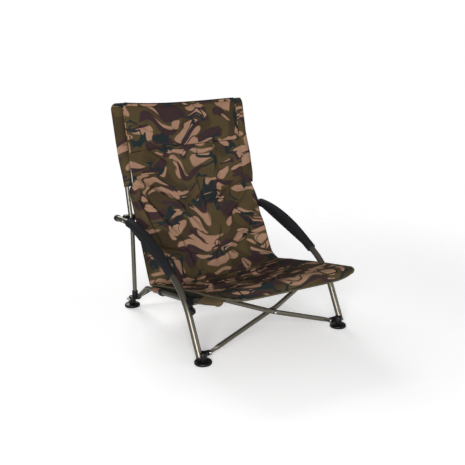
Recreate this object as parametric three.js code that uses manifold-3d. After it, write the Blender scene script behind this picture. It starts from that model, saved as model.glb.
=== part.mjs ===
// Low folding chair: two tube side frames joined by crossed bars, with a camouflage sling.
// Millimetres. +X is the chair's left-to-right line, the chair faces -Y, +Z is up.
import * as THREE from "three";
import { mergeVertices } from "three/addons/utils/BufferGeometryUtils.js";
import Module from "manifold-3d";

const wasm = await Module();
wasm.setup();

// Clearances
const touchGap = 0.3;
const pinClearance = 0.2;
const weldTolerance = 1e-4;

// Floor plan
const footHalfWidth = 275;
const footHalfDepth = 277;

// Tubes
const legRadius = 11;
const postRadius = 8;
const railRearRadius = 8;
const railFrontRadius = 10;
const barRadius = 8;
const tubeWall = 1.5;
const tubeSides = 12;
const barSides = 10;
const bendStep = 9;

// Side frame planes: the leg runs outside the feet's line, the post and the rail inside it
const legOutset = 11.5;
const postInset = 13;
const railInset = 20;
const legLateral = footHalfWidth + legOutset;
const postLateral = footHalfWidth - postInset;
const railLateral = footHalfWidth - railInset;

// Leg and arm: one bent tube from the front hub to behind the post
const legSetback = 5.4;
const legStartHeight = 28;
const legHeading = 61.4;
const legLowerRun = 119;
const legBendRadius = 240;
const legBendTurn = -35.4;
const legBendsDepth = 454;
const armBendRadius = 604;
const armBendTurn = -32;
const armEndRun = 55;
const legRoute = [
  { run: legLowerRun },
  { radius: legBendRadius, turn: legBendTurn },
  { run: 2 * footHalfDepth - legBendsDepth },
  { radius: armBendRadius, turn: armBendTurn },
  { run: armEndRun },
];

// Rear post
const postSetback = 1;
const postStartHeight = 30;
const postHeading = 90;
const postLowerRun = 262;
const postBendRadius = 120;
const postBendTurn = -12.8;
const postUpperRun = 427;
const postRoute = [
  { run: postLowerRun },
  { radius: postBendRadius, turn: postBendTurn },
  { run: postUpperRun },
];

// Side rail, from the rear hub to the front corner of the seat
const railSetforward = 15;
const railStartHeight = 38;
const railHeading = 142;
const railLowerRun = 91;
const railBendRadius = 60;
const railBendTurn = 26.8;
const railJoinRun = 114;
const railRearRoute = [
  { run: railLowerRun },
  { radius: railBendRadius, turn: railBendTurn },
  { run: railJoinRun },
];
const railFrontRun = 201;
const railTipBendRadius = 200;
const railTipBendTurn = -6.8;
const railFixedDepth = 384;
const railFrontRoute = [
  { run: railFrontRun },
  { radius: railTipBendRadius, turn: railTipBendTurn },
  { run: 2 * footHalfDepth - railFixedDepth },
];
const railJointGap = 4;

// Rail clip, over the joint between the two rail tubes, and the rivet behind it
const clipRadius = 14;
const clipLength = 18;
const railRivetBack = 17;
const railRivetRadius = 2;
const railRivetHeadRadius = 4;
const railRivetHeadHeight = 1.8;

// Foam grip, given by its stretch along the leg tube
const gripRadius = 17;
const gripFrom = 283;
const gripPinGap = 34.7;
const gripRound = 3;

// Fasteners
const pinRadius = 3;
const pinHeadRadius = 5.2;
const pinHeadHeight = 2.4;
const pinSides = 8;
const pinHoleRadius = (pinRadius + pinClearance) / Math.cos(Math.PI / pinSides);

// Plugs in the open tube ends
const plugHeight = 3;
const domeShare = 0.33;
const crownShare = 0.7;

// Arm end cap
const armCapWall = 1.6;
const armCapLength = 15;

// Arm bracket, on the post
const armBracketWall = 4.5;
const armBracketBelow = 10;
const armBracketAbove = 30;
const armSeatWidth = 24;

// Foot disc and its ball
const discRadius = 29;
const discEdge = 6;
const discShoulder = 9.5;
const discRound = 2.5;
const cupRadius = 13.5;
const cupHeight = 17;
const cupFillet = 2;
const cupRound = 1.5;
const cupLip = 1;
const ballRadius = 8.9;
const ballHeight = 13;
const ballBands = 7;
const cavityBands = 6;
const neckRadius = 6;

// Hub
const hubBossRadius = 14;
const hubSides = 12;
const discSides = 20;
const hubBottom = 21.5;
const hubTop = 40;
const hubOverlap = 1;
const socketWall = 3;
const socketLength = 34;
const forkOffset = 11;
const forkWall = 3;
const forkGap = 5.6;
const forkReach = 30;
const forkPinLateral = footHalfWidth - forkReach;
const forkPinHeight = 27;
const forkTipRadius = 7.5;

// Steel strap on the outside of each rear hub
const strapLength = 30;
const strapHeight = 9;
const strapThickness = 2;
const strapTilt = 12;

// Crossed bars
const crossingHeight = 117;
const crossingSpread = 9.5;
const barEndInset = 45;
const barTabInset = 7;
const barEndLateral = forkPinLateral - barEndInset;
const barTabLateral = forkPinLateral - barTabInset;
const barTabWidth = 16;
const barTabThickness = 3;
const tongueLength = 24;
const tongueThickness = 5;
const tongueStart = 12;
const barBlend = 10;
const barBlendSteps = 3;
const barLevel = 22;
const frontLean = 52;
const rearLean = -78;
const tabRivetInset = 8;

// Leg bracket, between leg and rail
const bracketAlong = 50;
const bracketForward = 34;
const bracketRear = 6;
const bracketDrop = 22.6;
const bracketInset = 13;
const bracketInner = railLateral - bracketInset;
const bracketNotch = 9;
const bracketChamfer = 4;
const notchSteps = 6;

// Sling: its top edge stands above the posts, its seam lies on the rails and its front hem is past their tips
const slingThickness = 4.5;
const slingTopRise = 17;
const slingLead = 4.3;
const seamAlongRail = 126.2;
const seamRise = 9.8;
const seamStep = 3.1;
const hemReach = 40.5;
const hemRise = 25;
const slingInset = 4;
const slingHalfWidth = railLateral - slingInset;
const slingFlare = 8;

// Shares of the sleeves' length, from the top down
const upperBackShares = [0, 0.447, 0.922];

// Shares of the way forward and of the way down, from the sleeves' lower ends to the seam
const lowerBackShares = [
  [0.18, 0.11],
  [0.327, 0.258],
  [0.507, 0.418],
  [0.733, 0.596],
  [0.92, 0.777],
];

// Shares of the way along the rail, from the seam to the rail's tip, and of the edge's rise above the rail
const seatRise = 31;
const seatEdgeShares = [
  [0.198, 0.694],
  [0.457, 1],
  [0.72, 0.99],
  [0.933, 0.724],
];

// How far the sling's middle hangs behind and below its edges, from the top down and from the back forward
const backSag = 38;
const backSagShares = [0.16, 0.32, 0.53, 0.71, 0.84, 0.95, 1, 1, 0.95];
const seatSag = 22;
const seatSagShares = [1, 1, 0.91, 0.77, 0.73, 0.77];
const seamPower = 8;
const rearPower = 6;

// Folds in the sling: slanting creases in the back, ripples at the back of the seat, and a slack front hem
const creaseDepth = 3.5;
const creaseTurns = 9;
const creaseSlant = 5;
const rippleDepth = 2.8;
const rippleTurns = 26;
const rippleSlant = 2;
const hemDrop = 5;
const hemShare = 0.14;
const panelColumns = 12;
const backRows = 22;
const seatRows = 18;

// Sleeves over the posts
const sleeveLength = 295;
const sleeveHalfWidth = 23;
const sleeveHalfDepth = 12;
const sleeveWall = 2.2;
const sleeveSides = 16;
const sleeveSeamGap = 1.5;
const panelHalfWidth = postLateral - sleeveHalfWidth - sleeveSeamGap;

// Head panel, a light pad on the front of the back
const headTopInset = 10;
const headHeight = 152;
const headSideInset = 11.5;
const headHalfWidth = panelHalfWidth - headSideInset;
const headThickness = 9;
const headCrown = 5;
const headGap = 0.7;
const headRows = 8;

// Binding along the front hem
const bindingRadius = 3;

// Seat corner pockets and rail loops
const pocketWall = 2;
const pocketLegGap = 48.1;
const loopWall = 2.6;
const loopLength = 36;
const loopBack = 62;

const olive = { color: 0x5b564b, roughness: 0.45, metalness: 0.55 };
const steel = { color: 0xb9b7af, roughness: 0.3, metalness: 0.9 };
const blackPlastic = { color: 0x0c0c0d, roughness: 0.55, metalness: 0 };
const foam = { color: 0x2b2b2e, roughness: 0.95, metalness: 0 };
const camouflage = { color: 0x5c4a38, roughness: 0.95, metalness: 0 };
const webbing = { color: 0x4b4632, roughness: 0.95, metalness: 0 };

const group = new THREE.Group();
group.name = "low_folding_chair";

function addPart(name, geometry, look) {
  geometry.computeVertexNormals();
  const mesh = new THREE.Mesh(geometry, new THREE.MeshStandardMaterial({ ...look }));
  mesh.name = name;
  mesh.castShadow = true;
  group.add(mesh);
  return mesh;
}

function radians(degrees) {
  return THREE.MathUtils.degToRad(degrees);
}

// Solids from rings

function signedVolume(positions, indices) {
  let volume = 0;
  const corners = [new THREE.Vector3(), new THREE.Vector3(), new THREE.Vector3()];
  for (let i = 0; i < indices.length; i += 3) {
    corners.forEach((corner, k) => corner.fromArray(positions, 3 * indices[i + k]));
    volume += corners[0].dot(corners[1].clone().cross(corners[2]));
  }
  return volume;
}

// A ring is a list of points, and a list with one point closes the skin to a tip.
function ringSolid(rings, loop = false) {
  const positions = [];
  const starts = [];
  for (const ring of rings) {
    starts.push(positions.length / 3);
    for (const point of ring) positions.push(point.x, point.y, point.z);
  }
  const indices = [];
  const joins = loop ? rings.length : rings.length - 1;
  for (let i = 0; i < joins; i += 1) {
    const j = (i + 1) % rings.length;
    const count = Math.max(rings[i].length, rings[j].length);
    for (let k = 0; k < count; k += 1) {
      const next = (k + 1) % count;
      const a = starts[i] + (rings[i].length > 1 ? k : 0);
      const b = starts[i] + (rings[i].length > 1 ? next : 0);
      const c = starts[j] + (rings[j].length > 1 ? k : 0);
      const d = starts[j] + (rings[j].length > 1 ? next : 0);
      if (a !== b) indices.push(a, b, d);
      if (c !== d) indices.push(a, d, c);
    }
  }
  if (signedVolume(positions, indices) < 0) {
    for (let i = 0; i < indices.length; i += 3) indices.splice(i, 3, indices[i], indices[i + 2], indices[i + 1]);
  }
  const geometry = new THREE.BufferGeometry();
  geometry.setAttribute("position", new THREE.Float32BufferAttribute(positions, 3));
  geometry.setIndex(indices);
  return geometry;
}

function ringsAlong(points, wide, deep, reference, sides) {
  return points.map((point, i) => {
    const before = points[Math.max(i - 1, 0)];
    const after = points[Math.min(i + 1, points.length - 1)];
    const along = after.clone().sub(before).normalize();
    const first = reference.clone().addScaledVector(along, -reference.dot(along)).normalize();
    const second = along.clone().cross(first);
    return Array.from({ length: sides }, (_, k) => {
      const angle = ((k + 0.5) / sides) * 2 * Math.PI;
      return point
        .clone()
        .addScaledVector(first, wide * Math.cos(angle))
        .addScaledVector(second, deep * Math.sin(angle));
    });
  });
}

function rod(points, radius, reference, sides = tubeSides) {
  const rings = ringsAlong(points, radius, radius, reference, sides);
  return ringSolid([[points[0]], ...rings, [points.at(-1)]]);
}

function tube(points, radius, wall, reference, sides = tubeSides) {
  const outer = ringsAlong(points, radius, radius, reference, sides);
  const inner = ringsAlong(points, radius - wall, radius - wall, reference, sides);
  return ringSolid([...outer, ...inner.reverse()], true);
}

// A sleeve that is open at its first point and closed at its last.
function sock(points, wide, deep, wall, reference, sides = tubeSides) {
  const outer = ringsAlong(points, wide, deep, reference, sides);
  const lined = cutRoute(points, 0, routeLength(points) - wall);
  const inner = ringsAlong(lined, wide - wall, deep - wall, reference, sides);
  return ringSolid([[points.at(-1)], ...outer.reverse(), ...inner, [lined.at(-1)]]);
}

// Routes

// A route in a side plane, as depth and height, made of straight runs and round bends.
function bentRoute(start, headingDegrees, pieces) {
  const points = [start];
  let heading = radians(headingDegrees);
  for (const piece of pieces) {
    if (piece.run) {
      const step = new THREE.Vector2(Math.cos(heading), Math.sin(heading));
      points.push(points.at(-1).clone().addScaledVector(step, piece.run));
      continue;
    }
    const steps = Math.ceil(Math.abs(piece.turn) / bendStep);
    const turn = radians(piece.turn) / steps;
    for (let i = 0; i < steps; i += 1) {
      const chord = 2 * piece.radius * Math.sin(Math.abs(turn) / 2);
      heading += turn / 2;
      points.push(points.at(-1).clone().add(
        new THREE.Vector2(Math.cos(heading), Math.sin(heading)).multiplyScalar(chord),
      ));
      heading += turn / 2;
    }
  }
  return points;
}

function routeLength(points) {
  let length = 0;
  for (let i = 1; i < points.length; i += 1) length += points[i].distanceTo(points[i - 1]);
  return length;
}

function pointAt(points, distance) {
  let left = distance;
  let i = 1;
  while (i < points.length - 1 && left > points[i].distanceTo(points[i - 1])) {
    left -= points[i].distanceTo(points[i - 1]);
    i += 1;
  }
  return points[i - 1].clone().lerp(points[i], left / points[i].distanceTo(points[i - 1]));
}

function endDirection(points) {
  return points.at(-1).clone().sub(points.at(-2)).normalize();
}

function cutRoute(points, from, to) {
  const kept = [pointAt(points, from)];
  let length = 0;
  for (let i = 1; i < points.length; i += 1) {
    length += points[i].distanceTo(points[i - 1]);
    if (length > from + touchGap && length < to - touchGap) kept.push(points[i].clone());
  }
  kept.push(pointAt(points, to));
  return kept;
}

function inPlane(points, lateral) {
  return points.map((point) => new THREE.Vector3(lateral, point.x, point.y));
}

// A bar runs level with its pins for a short stretch each side of the crossing, then leans away.
function barRoute(start, crossing, tip, inward) {
  const before = crossing.clone().addScaledVector(inward, -barLevel);
  const corner = crossing.clone().addScaledVector(inward, barLevel);
  const bendStart = corner.clone().addScaledVector(inward, -barBlend);
  const bendEnd = corner.clone().lerp(tip, barBlend / corner.distanceTo(tip));
  const curve = new THREE.QuadraticBezierCurve3(bendStart, corner, bendEnd);
  return [start, before, ...curve.getPoints(barBlendSteps), tip];
}

// Joins and cuts

function toManifold(geometry) {
  const bare = geometry.clone();
  bare.deleteAttribute("normal");
  bare.deleteAttribute("uv");
  const merged = mergeVertices(bare, weldTolerance);
  return new wasm.Manifold(new wasm.Mesh({
    numProp: 3,
    vertProperties: new Float32Array(merged.attributes.position.array),
    triVerts: new Uint32Array(merged.index.array),
  }));
}

function toGeometry(manifold) {
  const mesh = manifold.getMesh();
  const geometry = new THREE.BufferGeometry();
  geometry.setAttribute("position", new THREE.BufferAttribute(new Float32Array(mesh.vertProperties), 3));
  geometry.setIndex(new THREE.BufferAttribute(new Uint32Array(mesh.triVerts), 1));
  return geometry;
}

function combine(added, removed = []) {
  const joined = added.map(toManifold).reduce((whole, piece) => whole.add(piece));
  return toGeometry(removed.map(toManifold).reduce((whole, piece) => whole.subtract(piece), joined));
}

function spanBox(low, high) {
  const size = high.clone().sub(low);
  const centre = low.clone().add(high).multiplyScalar(0.5);
  return new THREE.BoxGeometry(size.x, size.y, size.z).translate(centre.x, centre.y, centre.z);
}

const acrossX = new THREE.Vector3(1, 0, 0);
const acrossY = new THREE.Vector3(0, 1, 0);
const acrossZ = new THREE.Vector3(0, 0, 1);

// A direction that a rod's rings can be turned from: any that is well off the rod's own line.
function sideways(along) {
  return Math.abs(along.x) > Math.SQRT1_2 ? acrossY : acrossX;
}

function straightRod(from, to, radius, sides = pinSides) {
  return rod([from, to], radius, sideways(to.clone().sub(from).normalize()), sides);
}

// A rivet with a domed head at each end, between the two faces that it holds.
function rivet(from, to, shankRadius = pinRadius, headRadius = pinHeadRadius, headHeight = pinHeadHeight) {
  const along = to.clone().sub(from).normalize();
  const stops = [
    [-headHeight, headRadius / 2],
    [-headHeight / 2, headRadius],
    [0, headRadius],
    [0, shankRadius],
  ];
  const ring = (origin, distance, radius) => {
    const centre = origin.clone().addScaledVector(along, distance);
    const next = centre.clone().add(along);
    return ringsAlong([centre, next], radius, radius, sideways(along), pinSides)[0];
  };
  const near = stops.map(([distance, radius]) => ring(from, distance, radius));
  const far = stops.map(([distance, radius]) => ring(to, -distance, radius)).reverse();
  const start = from.clone().addScaledVector(along, -headHeight);
  const end = to.clone().addScaledVector(along, headHeight);
  return ringSolid([[start], ...near, ...far, [end]]);
}

// Side frames

const legPlane = bentRoute(
  new THREE.Vector2(legSetback - footHalfDepth, legStartHeight), legHeading, legRoute,
);
const postPlane = bentRoute(
  new THREE.Vector2(footHalfDepth + postSetback, postStartHeight), postHeading, postRoute,
);
const railRearPlane = bentRoute(
  new THREE.Vector2(footHalfDepth - railSetforward, railStartHeight), railHeading, railRearRoute,
);
const railFrontPlane = bentRoute(
  railRearPlane.at(-1).clone().addScaledVector(endDirection(railRearPlane), railJointGap),
  railHeading + railBendTurn, railFrontRoute,
);

// Distance along a side route to the first point that is as high as asked.
function distanceToHeight(points, height) {
  let length = 0;
  for (let i = 1; i < points.length; i += 1) {
    const rise = points[i].y - points[i - 1].y;
    const step = points[i].distanceTo(points[i - 1]);
    if (points[i].y >= height) return length + (step * (height - points[i - 1].y)) / rise;
    length += step;
  }
  return length;
}

// How far along the first line it crosses the second, seen from the side
function meetingDistance(first, second) {
  let length = 0;
  for (let i = 1; i < first.length; i += 1) {
    const along = first[i].clone().sub(first[i - 1]);
    for (let j = 1; j < second.length; j += 1) {
      const other = second[j].clone().sub(second[j - 1]);
      const apart = second[j - 1].clone().sub(first[i - 1]);
      const share = apart.cross(other) / along.cross(other);
      const otherShare = apart.cross(along) / along.cross(other);
      if (Math.min(share, otherShare) >= 0 && Math.max(share, otherShare) <= 1) {
        return length + share * along.length();
      }
    }
    length += along.length();
  }
  throw new Error("two tubes that are held together don't meet");
}
const armPinDistance = meetingDistance(legPlane, postPlane);
const armPin = pointAt(legPlane, armPinDistance);
const gripTo = armPinDistance - gripPinGap;

// The sling's edges seen from the side, as depth and height: the posts' line, the seam and the front hem
const postTop = postPlane.at(-1);
const postLean = endDirection(postPlane);
const slingTop = postTop.y + slingTopRise;
const sleeveBottom = slingTop - sleeveLength;
const railPlane = [...railRearPlane, ...railFrontPlane];
const aboveRail = (distance, rise) => pointAt(railPlane, distance).add(new THREE.Vector2(0, rise));
const seatSeam = aboveRail(seamAlongRail, seamRise);
const backSeam = seatSeam.clone().add(new THREE.Vector2(0, seamStep));
const frontHem = railFrontPlane.at(-1).clone().add(new THREE.Vector2(-hemReach, hemRise));

function besidePost(height) {
  const depth = postTop.x + (postLean.x / postLean.y) * (height - postTop.y) - slingLead;
  return new THREE.Vector2(depth, height);
}

const sleeveEnd = besidePost(sleeveBottom);
const backEdge = [
  ...upperBackShares.map((share) => besidePost(slingTop - share * sleeveLength)),
  ...lowerBackShares.map(([forwardShare, downShare]) => new THREE.Vector2(
    THREE.MathUtils.lerp(sleeveEnd.x, backSeam.x, forwardShare),
    THREE.MathUtils.lerp(sleeveEnd.y, backSeam.y, downShare),
  )),
  backSeam,
];
const seatEdge = [
  seatSeam,
  ...seatEdgeShares.map(([alongShare, riseShare]) => aboveRail(
    THREE.MathUtils.lerp(seamAlongRail, routeLength(railPlane), alongShare), riseShare * seatRise,
  )),
  frontHem,
];

function forkPin(side, end) {
  return new THREE.Vector3(side * forkPinLateral, end * footHalfDepth + forkOffset, forkPinHeight);
}

function hubGeometry(side, end, tubes) {
  const centre = new THREE.Vector3(side * footHalfWidth, end * footHalfDepth, 0);
  const at = (height) => centre.clone().setZ(height);
  const pin = forkPin(side, end);
  const boss = straightRod(at(hubBottom), at(hubTop), hubBossRadius, hubSides);
  const neck = straightRod(at(ballHeight), at(hubBottom + hubOverlap), neckRadius, hubSides);
  const ball = new THREE.SphereGeometry(ballRadius, hubSides, ballBands).rotateX(Math.PI / 2).translate(
    centre.x, centre.y, ballHeight,
  );
  const half = forkGap / 2 + forkWall;
  const cheekLow = new THREE.Vector3(Math.min(centre.x, pin.x), pin.y - half, hubBottom);
  const cheekHigh = new THREE.Vector3(Math.max(centre.x, pin.x), pin.y + half, pin.z + forkTipRadius);
  const cheek = spanBox(cheekLow, cheekHigh);
  const tip = straightRod(
    pin.clone().setY(pin.y - half), pin.clone().setY(pin.y + half), forkTipRadius, hubSides,
  );
  const slotEnd = side * (footHalfWidth - hubBossRadius - hubOverlap);
  const slotLow = new THREE.Vector3(
    Math.min(slotEnd, pin.x - side * 2 * forkTipRadius), pin.y - forkGap / 2, 0,
  );
  const slotHigh = new THREE.Vector3(
    Math.max(slotEnd, pin.x - side * 2 * forkTipRadius), pin.y + forkGap / 2, 2 * hubTop,
  );
  const hole = straightRod(
    pin.clone().setY(pin.y - 2 * half), pin.clone().setY(pin.y + 2 * half),
    pinHoleRadius, pinSides,
  );
  const sockets = tubes.map(({ route, radius }) => {
    const points = cutRoute(route, 0, socketLength);
    const direction = points[1].clone().sub(points[0]).normalize();
    const bottom = points[0].clone().addScaledVector(direction, -socketWall);
    return rod([bottom, points.at(-1)], radius + socketWall, acrossX, hubSides);
  });
  const bores = tubes.map(({ route, radius }) => {
    const points = cutRoute(route, 0, 2 * socketLength);
    const direction = points[1].clone().sub(points[0]).normalize();
    const bottom = points[0].clone().addScaledVector(direction, -touchGap);
    return rod([bottom, ...points.slice(1)], radius + touchGap, acrossX, tubeSides);
  });
  const floorCut = spanBox(
    new THREE.Vector3(centre.x - 3 * hubBossRadius, centre.y - 3 * hubBossRadius, -hubBottom),
    new THREE.Vector3(centre.x + 3 * hubBossRadius, centre.y + 3 * hubBossRadius, hubBottom),
  );
  const body = combine([boss, cheek, ...sockets], [floorCut]);
  return combine([body, tip, neck, ball], [...bores, spanBox(slotLow, slotHigh), hole]);
}

function discGeometry(side, end) {
  const cavity = ballRadius + touchGap + pinClearance;
  const mouth = cupHeight - ballHeight;
  const outline = [
    [0, 0],
    [discRadius - discRound, 0],
    [discRadius, discRound],
    [discRadius, discEdge],
    [discRadius - discRound, discShoulder],
    [cupRadius + cupFillet, discShoulder + cupFillet],
    [cupRadius, cupHeight - cupLip],
    [cupRadius - cupRound, cupHeight],
  ].map(([radius, height]) => new THREE.Vector2(radius, height));
  const rimAngle = Math.asin(mouth / cavity);
  for (let i = 0; i <= cavityBands; i += 1) {
    const angle = rimAngle - (i / cavityBands) * (rimAngle + Math.PI / 2);
    outline.push(new THREE.Vector2(
      i === cavityBands ? 0 : cavity * Math.cos(angle), ballHeight + cavity * Math.sin(angle),
    ));
  }
  return new THREE.LatheGeometry(outline, discSides).rotateX(Math.PI / 2).translate(
    side * footHalfWidth, end * footHalfDepth, 0,
  );
}

function armBracketGeometry(side, postRoute3) {
  const low = distanceToHeight(postPlane, armPin.y) - armBracketBelow;
  const collarRoute = inPlane(cutRoute(postPlane, low, low + armBracketBelow + armBracketAbove),
    side * postLateral);
  const collar = rod(collarRoute, postRadius + armBracketWall, acrossX, hubSides);
  const seatInner = side * postLateral;
  const seatOuter = side * (legLateral - legRadius - touchGap);
  const seat = spanBox(
    new THREE.Vector3(Math.min(seatInner, seatOuter), armPin.x - armSeatWidth / 2,
      armPin.y - armBracketBelow),
    new THREE.Vector3(Math.max(seatInner, seatOuter), armPin.x + armSeatWidth / 2,
      armPin.y + armBracketBelow),
  );
  const bore = rod(postRoute3, postRadius + touchGap, acrossX);
  return combine([collar, seat], [bore, armPinHole(side)]);
}

function armPinHole(side) {
  return straightRod(
    new THREE.Vector3(side * (postLateral - 4 * postRadius), armPin.x, armPin.y),
    new THREE.Vector3(side * (legLateral + 2 * legRadius), armPin.x, armPin.y),
    pinHoleRadius,
  );
}

// The block is cut away where the leg and the rail pass through it.
function legBracketGeometry(side, legRoute3, railRoute3) {
  const distance = meetingDistance(legPlane, railFrontPlane) - bracketDrop;
  const centre = pointAt(legPlane, distance);
  const direction = endDirection([centre, pointAt(legPlane, distance + touchGap)]);
  const forward = new THREE.Vector2(-direction.y, direction.x);
  const place = (along, out) => centre.clone()
    .addScaledVector(direction, along)
    .addScaledVector(forward, out);
  const half = bracketAlong / 2;
  const outline = [place(-half, -bracketRear), place(-half, bracketForward - bracketChamfer),
    place(bracketChamfer - half, bracketForward)];
  for (let i = 0; i <= notchSteps; i += 1) {
    const angle = Math.PI * (i / notchSteps);
    outline.push(place(-bracketNotch * Math.cos(angle), bracketForward - bracketNotch * Math.sin(angle)));
  }
  outline.push(place(half - bracketChamfer, bracketForward), place(half, bracketForward - bracketChamfer),
    place(half, -bracketRear));
  const block = new THREE.ExtrudeGeometry(new THREE.Shape(outline), {
    depth: legLateral - bracketInner,
    bevelEnabled: false,
  });
  block.applyMatrix4(new THREE.Matrix4().makeBasis(acrossY, acrossZ, acrossX));
  block.translate(Math.min(side * bracketInner, side * legLateral), 0, 0);
  return combine([block], [
    rod(legRoute3, legRadius + touchGap, acrossX),
    rod(railRoute3, railFrontRadius + touchGap, acrossX),
  ]);
}

function capGeometry(route, radius) {
  const bottom = route[0];
  const top = route.at(-1);
  const along = top.clone().sub(bottom).normalize();
  const dome = top.clone().addScaledVector(along, radius * domeShare);
  const shoulder = ringsAlong([top, dome], radius, radius, acrossX, tubeSides)[0];
  const crown = ringsAlong([top, dome], radius * crownShare, radius * crownShare, acrossX, tubeSides)[1];
  const base = ringsAlong([bottom, top], radius, radius, acrossX, tubeSides)[0];
  return ringSolid([[bottom], base, shoulder, crown, [dome]]);
}

for (const [sideName, side] of [["left", -1], ["right", 1]]) {
  const legTube = inPlane(legPlane, side * legLateral);
  const post = inPlane(postPlane, side * postLateral);
  const rearRail = inPlane(railRearPlane, side * railLateral);
  const frontRail = inPlane(railFrontPlane, side * railLateral);

  addPart(`leg_arm_${sideName}`,
    combine([tube(legTube, legRadius, tubeWall, acrossX)], [armPinHole(side)]), olive);
  addPart(`post_${sideName}`,
    combine([tube(post, postRadius, tubeWall, acrossX)], [armPinHole(side)]), olive);
  const joint = routeLength(rearRail);
  const railRivet = pointAt(rearRail, joint - railRivetBack);
  const railRivetEnds = (reach) => [-reach, reach].map((out) => railRivet.clone().setX(railRivet.x + out));
  addPart(`rail_rear_${sideName}`, combine(
    [tube(rearRail, railRearRadius, tubeWall, acrossX)],
    [straightRod(...railRivetEnds(2 * railRearRadius), railRivetRadius + pinClearance)],
  ), olive);
  addPart(`rail_rivet_${sideName}`, rivet(
    ...railRivetEnds(railRearRadius + touchGap), railRivetRadius, railRivetHeadRadius, railRivetHeadHeight,
  ), steel);
  addPart(`rail_front_${sideName}`, tube(frontRail, railFrontRadius, tubeWall, acrossX), olive);

  const grip = cutRoute(legTube, gripFrom, gripTo);
  const gripBody = cutRoute(legTube, gripFrom + gripRound, gripTo - gripRound);
  const bore = legRadius + touchGap;
  const end = (points) => ringsAlong(points, gripRadius - gripRound, gripRadius - gripRound, acrossX,
    tubeSides);
  const skin = ringsAlong(gripBody, gripRadius, gripRadius, acrossX, tubeSides);
  const lining = ringsAlong(grip, bore, bore, acrossX, tubeSides);
  addPart(`grip_${sideName}`,
    ringSolid([end(grip)[0], ...skin, end(grip).at(-1), ...lining.reverse()], true), foam);

  const armTip = routeLength(legTube);
  const capRoute = cutRoute(legTube, armTip - armCapLength, armTip);
  const capRadius = legRadius + touchGap + armCapWall;
  capRoute.push(capRoute.at(-1).clone().addScaledVector(endDirection(capRoute), touchGap + armCapWall));
  addPart(`arm_cap_${sideName}`,
    sock(capRoute, capRadius, capRadius, armCapWall, acrossX), blackPlastic);

  addPart(`arm_bracket_${sideName}`, armBracketGeometry(side, post), blackPlastic);
  addPart(`arm_pin_${sideName}`, rivet(
    new THREE.Vector3(side * (postLateral - postRadius - armBracketWall - touchGap), armPin.x, armPin.y),
    new THREE.Vector3(side * (legLateral + legRadius + touchGap), armPin.x, armPin.y),
  ), steel);

  const postEnd = endDirection(post);
  const plug = [touchGap, plugHeight].map((rise) => post.at(-1).clone().addScaledVector(postEnd, rise));
  addPart(`post_cap_${sideName}`, capGeometry(plug, postRadius), blackPlastic);

  addPart(`leg_bracket_${sideName}`, legBracketGeometry(side, legTube, frontRail), blackPlastic);

  const clipAlong = endDirection(rearRail);
  const clipMiddle = rearRail.at(-1).clone().lerp(frontRail[0], 0.5);
  const clipEnds = [-clipLength / 2, clipLength / 2].map((distance) => (
    clipMiddle.clone().addScaledVector(clipAlong, distance)
  ));
  addPart(`rail_clip_${sideName}`, combine(
    [rod(clipEnds, clipRadius, acrossX)],
    [
      rod(cutRoute(rearRail, joint - clipLength, joint + touchGap), railRearRadius + touchGap, acrossX),
      rod([frontRail[0].clone().addScaledVector(clipAlong, -touchGap),
        frontRail[0].clone().addScaledVector(clipAlong, clipLength)],
      railFrontRadius + touchGap, acrossX),
    ],
  ), blackPlastic);

  const railEnd = endDirection(frontRail);
  const tipPlug = [touchGap, plugHeight].map((reach) => (
    frontRail.at(-1).clone().addScaledVector(railEnd, reach)
  ));
  addPart(`rail_tip_${sideName}`, capGeometry(tipPlug, railFrontRadius), blackPlastic);

  addPart(`front_hub_${sideName}`, hubGeometry(side, -1, [{ route: legTube, radius: legRadius }]),
    blackPlastic);
  addPart(`rear_hub_${sideName}`, hubGeometry(side, 1, [
    { route: post, radius: postRadius },
    { route: rearRail, radius: railRearRadius },
  ]), blackPlastic);
  addPart(`front_foot_${sideName}`, discGeometry(side, -1), blackPlastic);
  addPart(`rear_foot_${sideName}`, discGeometry(side, 1), blackPlastic);
  for (const [endName, endSign] of [["front", -1], ["rear", 1]]) {
    const pin = forkPin(side, endSign);
    const reach = forkGap / 2 + forkWall + touchGap;
    addPart(`${endName}_fork_pin_${sideName}`, rivet(
      pin.clone().setY(pin.y - reach), pin.clone().setY(pin.y + reach),
    ), steel);
  }

  const loopRoute = cutRoute(rearRail, joint - loopBack, joint - loopBack + loopLength);
  addPart(`seat_loop_${sideName}`,
    tube(loopRoute, railRearRadius + touchGap + loopWall, loopWall, acrossX), camouflage);

  const pocketFrom = meetingDistance(railFrontPlane, legPlane) + pocketLegGap;
  const pocketRoute = cutRoute(frontRail, pocketFrom, routeLength(frontRail));
  pocketRoute.push(frontRail.at(-1).clone().addScaledVector(railEnd,
    plugHeight + railFrontRadius * domeShare + touchGap + pocketWall));
  const pocketRadius = railFrontRadius + touchGap + pocketWall;
  addPart(`corner_pocket_${sideName}`,
    sock(pocketRoute, pocketRadius, pocketRadius, pocketWall, acrossX), camouflage);

  const sleeveRoute = cutRoute(post, distanceToHeight(postPlane, sleeveBottom), routeLength(post));
  sleeveRoute.push(post.at(-1).clone().addScaledVector(postEnd,
    plugHeight + postRadius * domeShare + touchGap + sleeveWall));
  addPart(`post_sleeve_${sideName}`,
    sock(sleeveRoute, sleeveHalfWidth, sleeveHalfDepth, sleeveWall, acrossX, sleeveSides), camouflage);
}

// Crossed bars

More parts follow.
